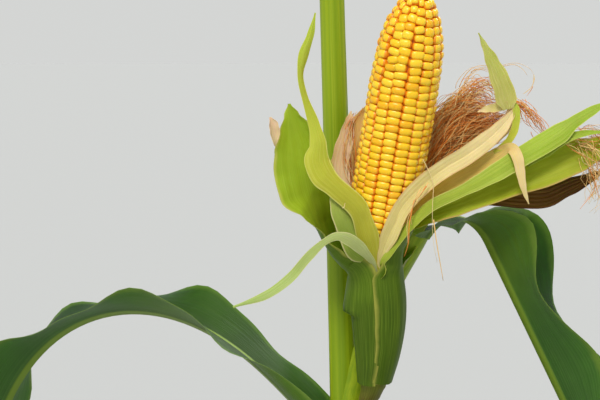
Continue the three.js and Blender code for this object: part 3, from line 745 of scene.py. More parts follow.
SILK_TONES = plains("silk", [
    ("rust", (236, 144, 54), 0.55), ("tan", (242, 198, 124), 0.55),
    ("brown", (184, 104, 40), 0.6), ("straw", (236, 212, 150), 0.55),
])
STRAW_TONES = plains("tassel", [
    ("straw", (190, 164, 100), 0.7), ("tan", (168, 132, 74), 0.7), ("green", (150, 150, 76), 0.7),
])
COB = plains("ear", [("cob", (206, 112, 26), 0.7)], 300.0, 0.0006)
ROOT = plains("brace", [("root", (134, 132, 70), 0.6)], 120.0, 0.0008)


# Stage, light and camera


def make_stage():
    bm = bmesh.new()
    bmesh.ops.create_circle(bm, cap_ends=True, segments=96, radius=FLOOR_RADIUS)
    mesh = mesh_from("floor", bm)
    mesh.materials.append(Finish("floor", 0.95).paint(FLOOR_TONE))
    floor = placed("floor", mesh)


def make_sky():
    """A studio backdrop that meets the floor in the floor's own tone and is brighter above."""
    world = bpy.data.worlds.new("studio")
    sky = Nodes(world)
    sight = sky.add("SeparateXYZ", {0: sky.add("TexCoord").outputs["Generated"]})
    tone = sky.blend(sky.ramp(sight.outputs["Z"], 0.0, ZENITH_FROM), HORIZON_TONE, ZENITH_TONE)
    sky.set(sky.tree.nodes["Background"], {"Color": tone})
    bpy.context.scene.world = world


def add_sun(name, source, spread, strength, tint):
    light = bpy.data.lights.new(name, "SUN")
    light.angle = math.radians(spread)
    light.energy = strength
    light.color = tint
    lamp = placed(name, light)
    lamp.location = source
    lamp.rotation_euler = (-Vector(source)).to_track_quat("-Z", "Y").to_euler()


def make_camera():
    data = bpy.data.cameras.new("camera")
    data.lens = CAMERA_LENS
    data.sensor_width = SENSOR_WIDTH
    camera = placed("camera", data)
    elevation = math.radians(CAMERA_ELEVATION)
    back = Vector((0, -math.cos(elevation), math.sin(elevation)))
    camera.location = CAMERA_AIM + back * CAMERA_DISTANCE
    camera.rotation_euler = (-back).to_track_quat("-Z", "Y").to_euler()
    bpy.context.scene.camera = camera
    bpy.context.scene.view_settings.view_transform = "Standard"


# Stalk


def internode_length(joint):
    return mix(SHORTEST_INTERNODE, LONGEST_INTERNODE, 1 - math.exp((1 - joint) / INTERNODE_GROWTH))


JOINT_HEIGHTS = [sum(internode_length(k) for k in range(1, joint + 1)) for joint in range(JOINTS + 2)]
STALK_HEIGHT = JOINT_HEIGHTS[JOINTS] + PEDUNCLE


def collar_height(joint):
    share = FLAG_SHEATH_SHARE if joint == JOINTS else SHEATH_SHARE
    return JOINT_HEIGHTS[joint] + share * internode_length(joint + 1)


def stalk_axis(z):
    return Vector((-LEAN * (z / JOINT_HEIGHTS[JOINTS]) ** 2, 0, z))


def bare_radius(z):
    return FOOT_RADIUS * (1 - STALK_TAPER * (z / STALK_HEIGHT) ** TAPER_POWER)


def collar_radius(joint):
    return bare_radius(collar_height(joint)) + SHEATH_THICKNESS + COLLAR_FLARE


def rank_azimuth(joint):
    return (LEFT_RANK if joint % 2 else RIGHT_RANK) - wander(RANK_WANDER, joint)


def sheath_at(z):
    """The leaf sheath round the stalk at a height: its joint, and its thickness there, or None."""
    for joint in range(FIRST_LEAF, JOINTS + 1):
        low, high = JOINT_HEIGHTS[joint] + JOINT_HALF, collar_height(joint)
        if low <= z <= high:
            flare = COLLAR_FLARE * smooth(high - COLLAR_HEIGHT, high, z)
            start, end = SHEATH_START
            return joint, SHEATH_THICKNESS * smooth(low + start, low + end, z) + flare
    return None, 0.0


def stalk_heights():
    """The heights of the stalk's rings, close together at its joints and collars."""
    heights = {0.0, STALK_HEIGHT}
    for joint in range(1, JOINTS + 1):
        z = JOINT_HEIGHTS[joint]
        heights.update(z + offset for offset in RINGS_NEAR_JOINT)
        if joint >= FIRST_LEAF:
            heights.update(collar_height(joint) + offset for offset in RINGS_NEAR_COLLAR)
    rings = np.arange(FIRST_PLAIN_RING, STALK_HEIGHT, RING_STEP)
    heights.update(float(z) for z in rings if all(abs(z - h) > CLOSEST_RINGS for h in heights))
    return sorted(heights)


def make_stalk():
    """The stalk in its rolled leaf sheaths: each overlaps itself along a seam opposite its leaf."""
    heights = stalk_heights()

    def place(row, share):
        z = heights[row]
        radius = bare_radius(z)
        azimuth = 360 * share
        joint, thickness = sheath_at(z)
        near = min(JOINT_HEIGHTS[1:], key=lambda h: abs(h - z))
        radius += JOINT_SWELL * math.exp(-(((z - near) / JOINT_SWELL_REACH) ** 2))
        if joint:
            rise = (z - JOINT_HEIGHTS[joint]) / internode_length(joint + 1)
            seam = (azimuth - rank_azimuth(joint) - 180 - SEAM_CLIMB * rise) % 360 / 360
            radius += thickness * mix(SEAM_EDGE, 1.0, seam)
        groove = sum(depth * math.cos(math.radians(azimuth) * count) for depth, count in GROOVES)
        return polar(azimuth, radius + groove * smooth(0, GROOVED_FROM, z), 0) + stalk_axis(z)

    finished("stalk", rolled(len(heights), STALK_SIDES, place), [STALK], "stalk_green")


def make_brace_roots():
    """Two rings of stilt-like roots that arch from the lowest joints and go straight into the ground."""
    bm = bmesh.new()
    inner = ROOT_START * FOOT_RADIUS
    out, high = ROOT_ARCH
    slim, swell, rate = ROOT_KNOBS

    def knobby(phase):
        return lambda t: ROOT_RADIUS * (slim + swell * math.cos(rate * t + phase))

    for ring, spread in enumerate(ROOT_SPREADS):
        start = JOINT_HEIGHTS[ring + 1]
        for i in range(ROOTS_PER_RING):
            azimuth = 360 * (i + 0.5 * ring) / ROOTS_PER_RING
            path = Path([
                polar(azimuth, inner, start),
                polar(azimuth, mix(inner, spread, out), high * start),
                polar(azimuth, spread, 0),
            ])
            mesh = mesh_from("root", rod(path, *ROOT_MESH, knobby(random.uniform(0, PHASES))))
            bm.from_mesh(mesh)
            bpy.data.meshes.remove(mesh)
    for vert in bm.verts:
        vert.co.z = max(0.0, vert.co.z)
    finished("brace_roots", bm, ROOT, "stalk_green", ["stalk"])


# Leaves


def leaf_plan(joint):
    """The sizes and angles of one leaf. The leaves round the ear have some of their own."""
    offset = joint - EAR_JOINT
    size = 1 - (SHORTENING_BELOW if offset < 0 else SHORTENING_ABOVE) * offset**2
    plan = dict(
        LEAF_HABIT, length=LEAF_LENGTH * size, width=LEAF_WIDTH * mix(NARROWEST_LEAF, 1, size),
        azimuth=rank_azimuth(joint), turn=wander(TURN_WANDER, joint), roll=wander(ROLL_WANDER, joint),
        wave_phase=WAVE_STEP * joint,
    )
    for angle, steeper in zip(("start_angle", "end_angle"), STEEPER_ABOVE):
        plan[angle] += steeper * max(0, offset)
    plan.update(OWN_HABITS.get(joint, {}))
    return plan


def leaf_foot(joint, plan):
    if joint == EAR_JOINT:
        return EAR_LEAF_COLLAR + Vector((LEAF_GAP, 0, LEAF_GAP))
    return polar(plan["azimuth"], collar_radius(joint) + LEAF_GAP, 0) + stalk_axis(collar_height(joint))


def leaf_spine(plan, foot):
    """Frames along a leaf's midrib, closest together where it bends over."""
    fine = []
    point = foot.copy()
    for i in range(FINE_STEPS + 1):
        t = i / FINE_STEPS
        rise = math.radians(mix(plan["start_angle"], plan["end_angle"], smooth(*plan["bend"], t)))
        azimuth = plan["azimuth"] + plan["turn"] * t * t
        along = polar(azimuth, math.cos(rise), math.sin(rise))
        across = polar(azimuth + 90, 1, 0)
        up = along.cross(across)
        roll = plan["roll"] * smooth(ROLL_FROM, 1, t)
        fine.append(Frame(point.copy(), along, turned(across, along, roll), turned(up, along, roll), t))
        point += along * (plan["length"] / FINE_STEPS)
    shares = [(i / LEAF_ROWS) ** plan["crowding"] for i in range(LEAF_ROWS + 1)]
    return [fine[max(i, round(FINE_STEPS * share))] for i, share in enumerate(shares)]


def leaf_section(plan, collar, t, s):
    """A leaf's section at a share t of its length: wrapped at the collar, then open, folded and wavy."""
    grow = mix(plan["foot_width"], 1, smooth(0, plan["grow_by"], t))
    past = max(0.0, t - WIDEST_AT) / (1 - WIDEST_AT)
    half = 0.5 * plan["width"] * grow * max(0.0, 1 - past ** LEAF_TIP[0]) ** LEAF_TIP[1]
    opened = smooth(0, plan["open_by"], t)
    wrap = min(plan["tightest_wrap"], half / (collar + 1))
    fold = mix(mix(plan["foot_fold"], plan["mid_fold"], smooth(*plan["fold_by"], t)), TIP_FOLD, t)
    ripple = RIPPLE * plan["width"] * smooth(0, plan["ripple_by"], t) * (1 - smooth(RIPPLE_FADE, 1, t))
    phase = 2 * math.pi * plan["waves"] * t + plan["wave_phase"] - (MARGIN_LAG if s < 0 else 0)
    faster, ahead = FLUTTER_WAVE
    flutter = plan["flutter"] * math.sin(faster * phase + ahead) * abs(s) ** 3
    return Section(
        max(NARROWEST_HALF, half),
        math.radians(fold) * opened,
        mix(wrap, math.radians(MARGIN_DROOP), opened),
        ripple * (s * s * math.sin(phase) + flutter),
    )


def leaf_depth(t, s, section):
    """Thin at the margins, with the midrib standing out below."""
    rib = RIB_THICKNESS * (1 - t) * math.exp(-((s * section.half / RIB_HALF_WIDTH) ** 2))
    return BLADE_THICKNESS * (1 - BLADE_THINNING * abs(s)) + rib


def make_leaf(joint):
    plan = leaf_plan(joint)
    spine = leaf_spine(plan, leaf_foot(joint, plan))
    collar = collar_radius(joint)
    bm = blade(spine, LEAF_COLUMNS, lambda t, s: leaf_section(plan, collar, t, s), leaf_depth)
    name = f"leaf_{joint:02d}"
    finished(name, bm, [LEAF, LEAF_UNDER], "leaf_green", [name + "_rise", name + "_fall"])


def make_ear_leaf_sheath():
    """The ear leaf's sheath, which stands off the stalk behind the ear."""
    z = JOINT_HEIGHTS[EAR_JOINT]
    start = polar(EAR_SHEATH_AZIMUTH, bare_radius(z) + JOINT_SWELL + EAR_SHEATH_STAND_OFF, 0)
    start += stalk_axis(z + JOINT_HALF)
    path = Path([start, EAR_SHEATH_BELLY, EAR_LEAF_COLLAR])
    inward = polar(EAR_SHEATH_AZIMUTH + 180, 1, 0)
    rows, columns = EAR_SHEATH_MESH
    spine = spine_along(path, rows, lambda t: inward)
    section = Section(EAR_SHEATH_WIDTH / 2, 0.0, EAR_SHEATH_CURL)
    bm = blade(spine, columns, lambda t, s: section, lambda t, s, _: EAR_SHEATH_THICKNESS - abs(s))
    finished("ear_leaf_sheath", bm, [STALK, STALK], "stalk_green")


def spine_along(path, rows, look_at):
    """Frames along a path for a blade whose inner face looks the way look_at(t) says."""
    spine = []
    for i in range(rows + 1):
        t = i / rows
        along = path.tangent(t)
        up = perpendicular(look_at(t), along)
        spine.append(Frame(path.point(t), along, up.cross(along), up, t))
    return spine


# Ear

EAR_AXIS = EAR_TIP - EAR_BASE
EAR_LENGTH = EAR_AXIS.length
EAR_UP = EAR_AXIS.normalized()
EAR_RIGHT = EAR_UP.cross(Vector((0, -1, 0))).normalized()
EAR_FRONT = EAR_RIGHT.cross(EAR_UP).normalized()


def ear_radius(t):
    past = max(0.0, t - EAR_TAPER_FROM) / EAR_TAPER_REACH
    foot = mix(EAR_FOOT_SHARE, 1, smooth(0, EAR_FULL, t))
    return EAR_RADIUS * foot * max(0.0, 1 - past ** EAR_TAPER[0]) ** EAR_TAPER[1]


def ear_outward(turn):
    return EAR_RIGHT * math.cos(math.radians(turn)) + EAR_FRONT * math.sin(math.radians(turn))


def ear_point(t, turn, radius):
    return EAR_BASE + EAR_UP * (t * EAR_LENGTH) + ear_outward(turn) * radius


def off_the_ear(point):
    """How far a husk's point has to move to lie outside the kernels."""
    from_base = point - EAR_BASE
    t = from_base.dot(EAR_UP) / EAR_LENGTH
    if not CLEAR_FROM < t < 1:
        return Vector()
    radial = from_base - EAR_UP * from_base.dot(EAR_UP)
    lack = ear_radius(max(t, 0.0)) + HUSK_CLEARANCE - radial.length
    return radial.normalized() * lack if lack > 0 else Vector()


def kernel_shape():
    """A plump kernel, 1 wide, 1 tall and 1 deep, with its crown at z = 0.5 and narrower below."""
    bm = bmesh.new()
    bmesh.ops.create_cube(bm, size=2)
    bmesh.ops.subdivide_edges(bm, edges=bm.edges[:], cuts=2, use_grid_fill=True)
    deep, narrow = KERNEL_DIMPLE
    for vert in bm.verts:
        x, y, z = vert.co
        size = (abs(x) ** KERNEL_BOX + abs(y) ** KERNEL_BOX + abs(z) ** KERNEL_BOX) ** (1 / KERNEL_BOX)
        x, y, z = x / size, y / size, z / size
        dimple = deep * max(0.0, z) * math.exp(-narrow * (x * x + y * y))
        wedge = mix(KERNEL_FOOT, 1.0, smooth(*KERNEL_WEDGE, z))
        vert.co = Vector((x * wedge, y * wedge, z - dimple)) / 2
    return arrays_of(bm)


def kernel_sizes(t, share, spare):
    """A kernel's width and height, which vary by the spare share."""
    width = 2 * math.pi * ear_radius(t) / KERNEL_ROWS * KERNEL_WIDTH
    step = EAR_LENGTH * (1 - KERNEL_CROWDING * (1 - 2 * share)) / KERNELS_PER_ROW
    least, most = KERNEL_HEIGHT
    width *= random.uniform(1 - spare, 1 + spare)
    return width, step * random.uniform(least - spare, most + spare)


def kernel_axes(t, turn):
    """The way across, along and out of the ear for a kernel, by the slope of the ear there."""
    outward = ear_outward(turn)
    step = KERNEL_SLOPE_STEP
    slope = (ear_radius(min(1, t + step)) - ear_radius(t - step)) / (2 * step * EAR_LENGTH)
    up = (EAR_UP + outward * slope).normalized()
    out = perpendicular(outward, up)
    return up.cross(out), up, out


def make_kernels():
    template = kernel_shape()
    flank = template[2][:, 2] < KERNEL_FLANK
    placings, tones = [], []
    for row in range(KERNEL_ROWS):
        lean = random.normal(0, ROW_LEAN)
        wave = random.uniform(0, PHASES)
        shift = random.uniform(-0.5, 0.5)
        for k in range(KERNELS_PER_ROW):
            share = (k + 0.5 + shift) / KERNELS_PER_ROW
            t = share * (1 - KERNEL_CROWDING * (1 - share))
            if not 0 < t < KERNEL_LAST:
                continue
            wild = smooth(*WILD_ROWS, t)
            stray = {way: mix(even, most, wild) for way, (even, most) in KERNEL_STRAY.items()}
            turn = 360 * (row + 0.5) / KERNEL_ROWS + lean + (1 + wild) * math.sin(ROW_WAVES * t + wave)
            turn += random.normal(0, stray["turn"])
            radius = ear_radius(t) + random.normal(0, stray["radius"])
            across, up, out = kernel_axes(t, turn)
            roll = random.normal(0, stray["roll"])
            up, across = turned(up, out, roll), turned(across, out, roll)
            depth = min(KERNEL_DEPTH, radius * KERNEL_REACH)
            width, height = kernel_sizes(t, share, stray["size"])
            centre = ear_point(t, turn, radius - depth / 2 + KERNEL_CROWN)
            placings.append(placing_of((across * width, up * height, out * depth), centre))
            # Flank faces take the deeper orange that also paints the shade between kernels; crowns take one
            # of the three tones.
            tones.append(np.where(flank, FLANK_AND_GAP_SHADE_TONE, random.choice(FLANK_AND_GAP_SHADE_TONE, p=KERNEL_SHARES)))
    mesh = scattered("ear_kernels", template, placings, tones)
    piece_of("ear_kernels", mesh, KERNEL_TONES, "kernel_yellow")


def make_cob():
    """The cob under the kernels, seen only as the deep colour between them."""
    rings, sides = COB_MESH

    def place(row, share):
        t = row / (rings - 1)
        return ear_point(t, 360 * share, max(COB_TIP, ear_radius(t) - COB_DEPTH))

    finished("cob", rolled(rings, sides, place), COB, "kernel_yellow")


def deal(mesh, tones, faces_each):
    """Gives each thread of a mesh its tone."""
    mesh.polygons.foreach_set("material_index", np.repeat(tones, faces_each).astype(np.int32))


def make_tip_tuft():
    paths = []
    for _ in range(TUFT_THREADS):
        turn = random.uniform(0, 360)
        start = ear_point(TUFT_FOOT, turn, random.uniform(*TUFT_START))
        side = ear_point(TUFT_FOOT, turn, 1) - ear_point(TUFT_FOOT, turn, 0)
        reach = random.uniform(*TUFT_REACH)
        bend = side * random.uniform(*TUFT_BEND) + EAR_RIGHT * random.uniform(*TUFT_DRIFT)
        shares = np.linspace(0, 1, TUFT_POINTS)
        paths.append([start + EAR_UP * (reach * w) + bend * w * w for w in shares])
    mesh, faces = strands("ear_tip_tuft", paths, random.uniform(*TUFT_GIRTH, TUFT_THREADS))
    deal(mesh, random.choice(len(SILK_TONES), size=TUFT_THREADS, p=TUFT_SHARES), faces)
    piece_of("ear_tip_tuft", mesh, SILK_TONES, "silk_brown")


# Shank and husk


def shank_path():
    start = stalk_axis(JOINT_HEIGHTS[EAR_JOINT] + 2 * JOINT_HALF)
    outward = SHANK_RING - start
    outward.z = 0
    outward.normalize()
    start += outward * (bare_radius(start.z) + SHANK_RADII[0] - SHANK_SEAT)
    top = EAR_BASE - EAR_UP * SHANK_GAP
    middle = start.lerp(SHANK_RING, 0.5) + outward * SHANK_BULGE
    share, bend = SHANK_BEND
    return Path([start, middle, SHANK_RING, SHANK_RING.lerp(top, share) + bend, top])


SHANK_PATH = shank_path()


def shank_radius(share):
    return float(np.interp(share, np.linspace(0, 1, len(SHANK_RADII)), SHANK_RADII))


def make_shank():
    """The stem under the ear: short ringed lengths up to where the husk leaves part from it."""
    rings, sides = SHANK_MESH

    def place(row, share):
        here = row / (rings - 1)
        ridge = SHANK_RIDGE * max(0.0, math.cos(2 * math.pi * here * SHANK_RINGS)) ** 6
        ridge *= 1 - smooth(*SHANK_BARE, here)
        radius = shank_radius(here) - mix(*SHANK_INSET, smooth(*SHANK_WRAP, here)) + ridge
        return polar(360 * share, radius, 0) + SHANK_PATH.at(here)

    finished("ear_shank", rolled(rings, sides, place), [SHANK], "husk_green")


FOOT_SHARES = [0.34, 0.5, 0.66, 0.8, 0.93]  # of the shank's length
FOOT_GAP = 5  # mm left between the wrapped foot and the first station
FOOT_SHOWN = 0.3  # share of a husk leaf's finish that its wrapped foot takes
FREE_BY = 0.4  # share of the run in which the margins grow as uneven as they get
NIBBLE = [0.04, 31, 2]  # depth, rate along the leaf, and how far its two margins are out of step
MARGIN_WAVE = [0.045, 19, 1.4]
PLEATS = [(0.16, 17, 0), (0.1, 41, 3)]  # depth, rate across the leaf, and how fast they slant
FULL_PLEATS = 16  # half width from which the pleats have their full depth
NARROWEST_HUSK = 0.3
HUSK_COLUMNS = 26
HUSK_THICKNESS = 0.45
HUSK_THINNING = 0.25  # how much thinner the margins are


@dataclass
class HuskLeaf:
    """One leaf of the husk. The angles in looks and cup are shared out over its stations."""

    name: str
    slot: str
    inner: str  # the finish of the face that looks towards the ear
    outer: str = ""  # the other face's, or none where it is the same
    foot: tuple = ()  # its azimuth round the shank, its half turn round it and its height over it
    looks: tuple = (0,)  # how far the inner face turns from -Y about the leaf's own run
    cup: tuple = (20,)  # slope up to the margins
    fold: float = 0  # crease along the middle
    crinkle: float = 1  # how much deeper than usual its pleats are
    stations: tuple = ()  # x, y and z from the ear's foot, and the width there


HUSK_LEAVES = [
    HuskLeaf("husk_back_outer", "husk_green", "green", "outer", foot=(70, 95, 1.4), looks=(-30, -70),
             cup=(28,), stations=[
        (20, 33, 14, 34), (36, 50, 38, 40), (54, 66, 54, 36), (74, 82, 62, 24), (94, 96, 58, 3)]),
    HuskLeaf("husk_back", "husk_pale", "beige", "outer", foot=(95, 100, 0.5), cup=(40,), stations=[
        (-1, 28, 25, 54), (4, 32, 61, 66), (8, 33, 93, 54), (12, 38, 124, 5)]),
    HuskLeaf("husk_back_right", "husk_pale", "beige", "outer", cup=(30,), stations=[
        (29, 6, 40, 3), (35, 5, 54, 11), (44, 6, 71, 19), (52, 9, 93, 23), (58, 10, 108, 17),
        (62, 10, 117, 2)]),
    HuskLeaf("husk_left_inner", "husk_green", "blush", "outer", looks=(15, 0), cup=(30,), stations=[
        (-17.5, 5, 22, 4), (-20, 5, 39, 11), (-23.5, 6, 54, 14), (-25, 7, 68, 14.5), (-23, 7, 79, 13),
        (-20, 7, 90, 11), (-18, 7, 100, 6.5), (-17, 7, 106.5, 1)]),
    HuskLeaf("husk_left_outer", "husk_green", "green", "outer", foot=(176, 95, 2.2),
             looks=(89, 88, 84, 72, 52, 28, 12, 6, 2, 0, 0),
             cup=(92, 78, 60, 42, 30, 22, 20, 20, 20, 20, 20), stations=[
        (-19.5, -1.3, -8, 60), (-24, -2, -3.5, 52), (-32, -4, 6.5, 46), (-39, -7, 22, 42),
        (-45, -10, 40, 43), (-49, -12, 52, 46), (-52, -13, 67, 44), (-54, -12, 82, 36),
        (-57.5, -12, 96, 21), (-59.5, -12, 105, 11), (-61, -12, 112.5, 2)]),
    HuskLeaf("husk_left_curl", "husk_green", "blush", looks=(20,), cup=(60,), stations=[
        (-69, -13, 80, 2), (-70.5, -13, 86, 6), (-71.5, -12, 92, 9), (-72.5, -12, 98, 8),
        (-74.5, -12, 103, 1.5)]),
    HuskLeaf("husk_left_middle", "husk_green", "middle", foot=(-112, 30, 0.5), looks=(192,), cup=(18,),
             stations=[
        (-5, -19, 2, 8), (-13, -24, 10.5, 17), (-19.5, -27, 23, 15), (-24.5, -29, 36, 14),
        (-27.5, -29, 46, 11), (-29, -30, 55, 3)]),
    HuskLeaf("husk_left_lance", "husk_green", "lance", foot=(-95, 38, 0.8), looks=(188, 200), cup=(22,),
             stations=[
        (-1, -18, 2, 7.5), (-2, -20, 8.5, 11), (-5.8, -24.5, 22, 17), (-12.5, -30, 40, 15),
        (-28.5, -33, 55.5, 15), (-37.5, -32.5, 64.5, 19), (-41.5, -31.5, 74, 18.5),
        (-40.5, -30, 84.5, 12), (-43.5, -27, 98.5, 8.5), (-50.5, -25, 119, 5), (-53, -24, 133, 4.5),
        (-50.5, -24, 147, 7.3), (-46, -25, 160.5, 5), (-43, -26, 176, 0.8)]),
    HuskLeaf("husk_left_ribbon", "husk_pale", "ribbon", foot=(-100, 15, 0.9), looks=(180, 200), cup=(14,),
             fold=-8, stations=[
        (-1, -19, -1, 3), (-5.5, -25, 6, 5.5), (-12.5, -32, 14, 8.5), (-20, -37, 19.8, 8.5),
        (-27.5, -39.5, 22, 6), (-36, -41, 18.5, 4.5), (-48, -41, 7.5, 6.5), (-60, -39, -7, 7),
        (-76, -37, -19, 6), (-100, -36, -28, 1.5)]),
    HuskLeaf("husk_right_dried", "silk_brown", "dried", looks=(-20, -15), crinkle=6, stations=[
        (34, -12, 30, 3), (50, -14, 39, 6), (68, -15, 44.5, 9), (87.5, -14, 47, 14), (105, -13, 46, 16),
        (121, -12, 47, 15.5), (136, -11, 53.5, 12.5), (153, -10, 61, 7), (161, -10, 65, 1)]),
    HuskLeaf("husk_right_lower", "husk_green", "olive", "outer", foot=(-8, 78, 1.6),
             looks=(-80, -75, -50, -36, -26, -20, -18, -18, -18, -18, -18),
             cup=(60, 40, 28, 22, 20, 20, 20, 20, 20, 20, 20), stations=[
        (13.5, -5, 4, 20), (15, -7, 15, 12), (21, -12, 25, 12), (32, -19, 32.5, 14), (44, -23, 39, 17),
        (58.5, -25, 44.5, 19), (86.5, -24, 56, 24), (114.5, -22, 67, 28), (139, -20, 76, 25),
        (157, -18, 82, 16), (170, -16, 89, 1.5)]),
    HuskLeaf("husk_right_under", "husk_green", "outer", foot=(-10, 90, 2.7),
             looks=(-90, -86, -78, -70, -70), cup=(78, 66, 60, 40, 30), stations=[
        (19.5, -2.5, 0, 52), (20, -1, 8, 46), (20.5, 0, 17, 38), (21, 0, 25, 20), (22, -1, 31, 3)]),
    HuskLeaf("husk_right_strap", "husk_green", "strap", "outer", foot=(-62, 24, 0.7), looks=(-30, -22),
             cup=(8,), fold=-14, stations=[
        (4.2, -20.5, 0, 4), (9.2, -24, 8.5, 5.5), (18, -28, 22, 6.5), (26, -31, 32, 7.5),
        (37, -32, 42.5, 8.5), (57.5, -34, 52.5, 8.5), (71, -35, 59.5, 11), (85, -35, 68, 14),
        (99, -34, 77, 15.5), (113, -33, 85, 16), (125.5, -31, 92.5, 15), (137, -29, 101, 9),
        (148, -27, 107.5, 7.5), (162, -25, 115, 2)]),
    HuskLeaf("husk_right_second_tip", "husk_green", "strap", looks=(-20,), cup=(18,), stations=[
        (104, -31, 71, 4), (119, -30, 81, 7.5), (128.5, -29, 88, 8), (141, -28, 92, 5),
        (155, -26, 93.5, 2.3), (164, -25, 93.5, 0.8)]),
    HuskLeaf("husk_right_folded", "husk_pale", "ochre", foot=(-62, 25, 0.35), looks=(-25, 0), cup=(12,),
             stations=[
        (6.5, -18, 8, 4), (12, -21, 21, 6), (19.5, -22, 33.5, 9.5), (37.5, -22, 49.5, 13),
        (52, -21, 58.5, 15), (69.5, -20, 68, 14), (83, -21, 76, 10.5), (90, -24, 81, 7.5),
        (94, -31, 82, 8), (96.5, -38, 77, 8.5), (98, -42, 68.5, 7), (99.5, -44, 60, 5),
        (101.5, -45, 52, 3), (104, -45, 45, 0.7)]),
    HuskLeaf("husk_right_inner", "husk_pale", "cream", foot=(-72, 30, 0.2), looks=(165, 185), cup=(4,),
             fold=-17, stations=[
        (3, -18, 2, 4), (4.9, -20.5, 8.5, 7), (9.6, -26, 22, 13), (17.5, -29, 40.5, 13),
        (33, -30, 57.5, 13.5), (48, -29, 69, 13.5), (62, -27, 77, 13.5), (75, -25, 86, 13.5),
        (85.5, -23, 95.5, 11), (93, -21, 104, 6), (96.5, -20, 110, 1.5)]),
    HuskLeaf("husk_right_lance", "husk_pale", "tips", looks=(0, 10), cup=(16,), fold=8, stations=[
        (92, -20, 109, 8), (90.5, -20, 115.5, 15.5), (86, -19, 129.5, 14), (80.5, -18, 142, 10),
        (75.5, -17, 153, 4.6), (71, -16, 162, 0.8)]),
    HuskLeaf("husk_right_lining", "husk_pale", "blush", cup=(18,), stations=[
        (72, -19, 82, 4), (82, -18, 89, 10), (90, -18, 98, 11), (94.5, -18, 107, 7), (96, -18, 113, 1)]),
    HuskLeaf("husk_right_hook", "husk_pale", "lance", looks=(-10, 0), cup=(24,), stations=[
        (82, -21, 79, 2), (87, -22, 82.5, 4), (92.5, -23, 87.5, 5), (96, -23, 94.5, 5.4),
        (97.5, -22, 101.5, 5.2), (97.5, -21, 108.5, 5), (95.5, -20, 114, 3)]),
    HuskLeaf("husk_right_tongue", "husk_pale", "cream", looks=(-10, 0), cup=(18,), stations=[
        (92, -19.5, 112, 5), (83, -18.5, 110, 6.5), (77, -17.5, 109, 4.8), (71, -16.5, 107, 0.8)]),
]


def spread_over(angles, count):
    """One angle for each station, from one angle or from several that are evenly shared out."""
    return np.interp(np.linspace(0, 1, count), np.linspace(0, 1, len(angles)), angles)


class HuskRun:
    """The run of one husk leaf: its frames, and its widths and slopes at any share t of it."""

    ROWS_EACH = 6  # rows from one point of the run to the next

    def __init__(self, leaf):
        points, self.widths, self.cups, self.folds, self.looks = [], [], [], [], []
        if leaf.foot:
            azimuth, half_turn, height = leaf.foot
            lowest = EAR_BASE.z + leaf.stations[0][2]
            for share in [share for share in FOOT_SHARES if SHANK_PATH.at(share).z < lowest - FOOT_GAP]:
                radius = shank_radius(share) + height
                points.append(SHANK_PATH.at(share) + polar(azimuth, radius, 0))
                self.looks.append(polar(azimuth + 180, 1, 0))
                self.add(2 * math.radians(half_turn) * radius, half_turn, 0)
        feet = len(points)
        count = len(leaf.stations)
        for (x, y, z, width), cup in zip(leaf.stations, spread_over(leaf.cup, count)):
            points.append(EAR_BASE + Vector((x, y, z)))
            self.add(width, cup, leaf.fold)
        self.last = len(points) - 1
        self.opens = max(0, feet - 0.5) / self.last
        path = Path(points)
        for i, look in zip(range(feet, len(points)), spread_over(leaf.looks, count)):
            along = path.tangent(i / self.last)
            self.looks.append(turned(perpendicular(Vector((0, -1, 0)), along), along, look))
        self.spine = spine_along(path, self.ROWS_EACH * self.last, lambda t: self.between(self.looks, t))

    def add(self, width, cup, fold):
        self.widths.append(width)
        self.cups.append(math.radians(cup))
        self.folds.append(math.radians(fold))

    def between(self, values, t):
        place = t * self.last
        low = min(self.last - 1, int(place))
        return values[low] + (values[low + 1] - values[low]) * smooth(0, 1, place - low)

    def shown_at(self, t):
        """How far along the finish is drawn: the wrapped foot takes a set share of it."""
        if t < self.opens:
            return FOOT_SHOWN * t / self.opens
        return mix(FOOT_SHOWN, 1, (t - self.opens) / (1 - self.opens))


def husk_depth(t, s, section):
    return HUSK_THICKNESS - HUSK_THINNING * abs(s)


def make_husk(leaf):
    """Draws one husk leaf, with nibbled, wavy margins and fine pleats along it."""
    run = HuskRun(leaf)
    phases = random.uniform(0, PHASES, 4)
    size = max(run.widths[-len(leaf.stations):])

    def along_margin(wave, phase, t, s):
        depth, rate, step = wave
        return depth, math.sin(rate * t + phase + (step if s > 0 else 0))

    def section_at(t, s):
        free = smooth(run.opens, run.opens + FREE_BY, t)
        depth, swing = along_margin(NIBBLE, phases[0], t, s)
        half = run.between(run.widths, t) / 2 * (1 + depth * free * swing)
        depth, swing = along_margin(MARGIN_WAVE, phases[1], t, s)
        lift = depth * size * (s * s * swing) * free
        pleats = sum(
            deep * math.cos(rate * s + phase + slant * t)
            for (deep, rate, slant), phase in zip(PLEATS, phases[2:])
        )
        lift += pleats * (leaf.crinkle * min(1, half / FULL_PLEATS))
        return Section(max(NARROWEST_HUSK, half), run.between(run.folds, t), run.between(run.cups, t), lift)

    finishes = [HUSK[leaf.inner], HUSK[leaf.outer or leaf.inner]]
    bm = blade(run.spine, HUSK_COLUMNS, section_at, husk_depth, off_the_ear, run.shown_at)
    finished(leaf.name, bm, finishes, leaf.slot)


# Silk

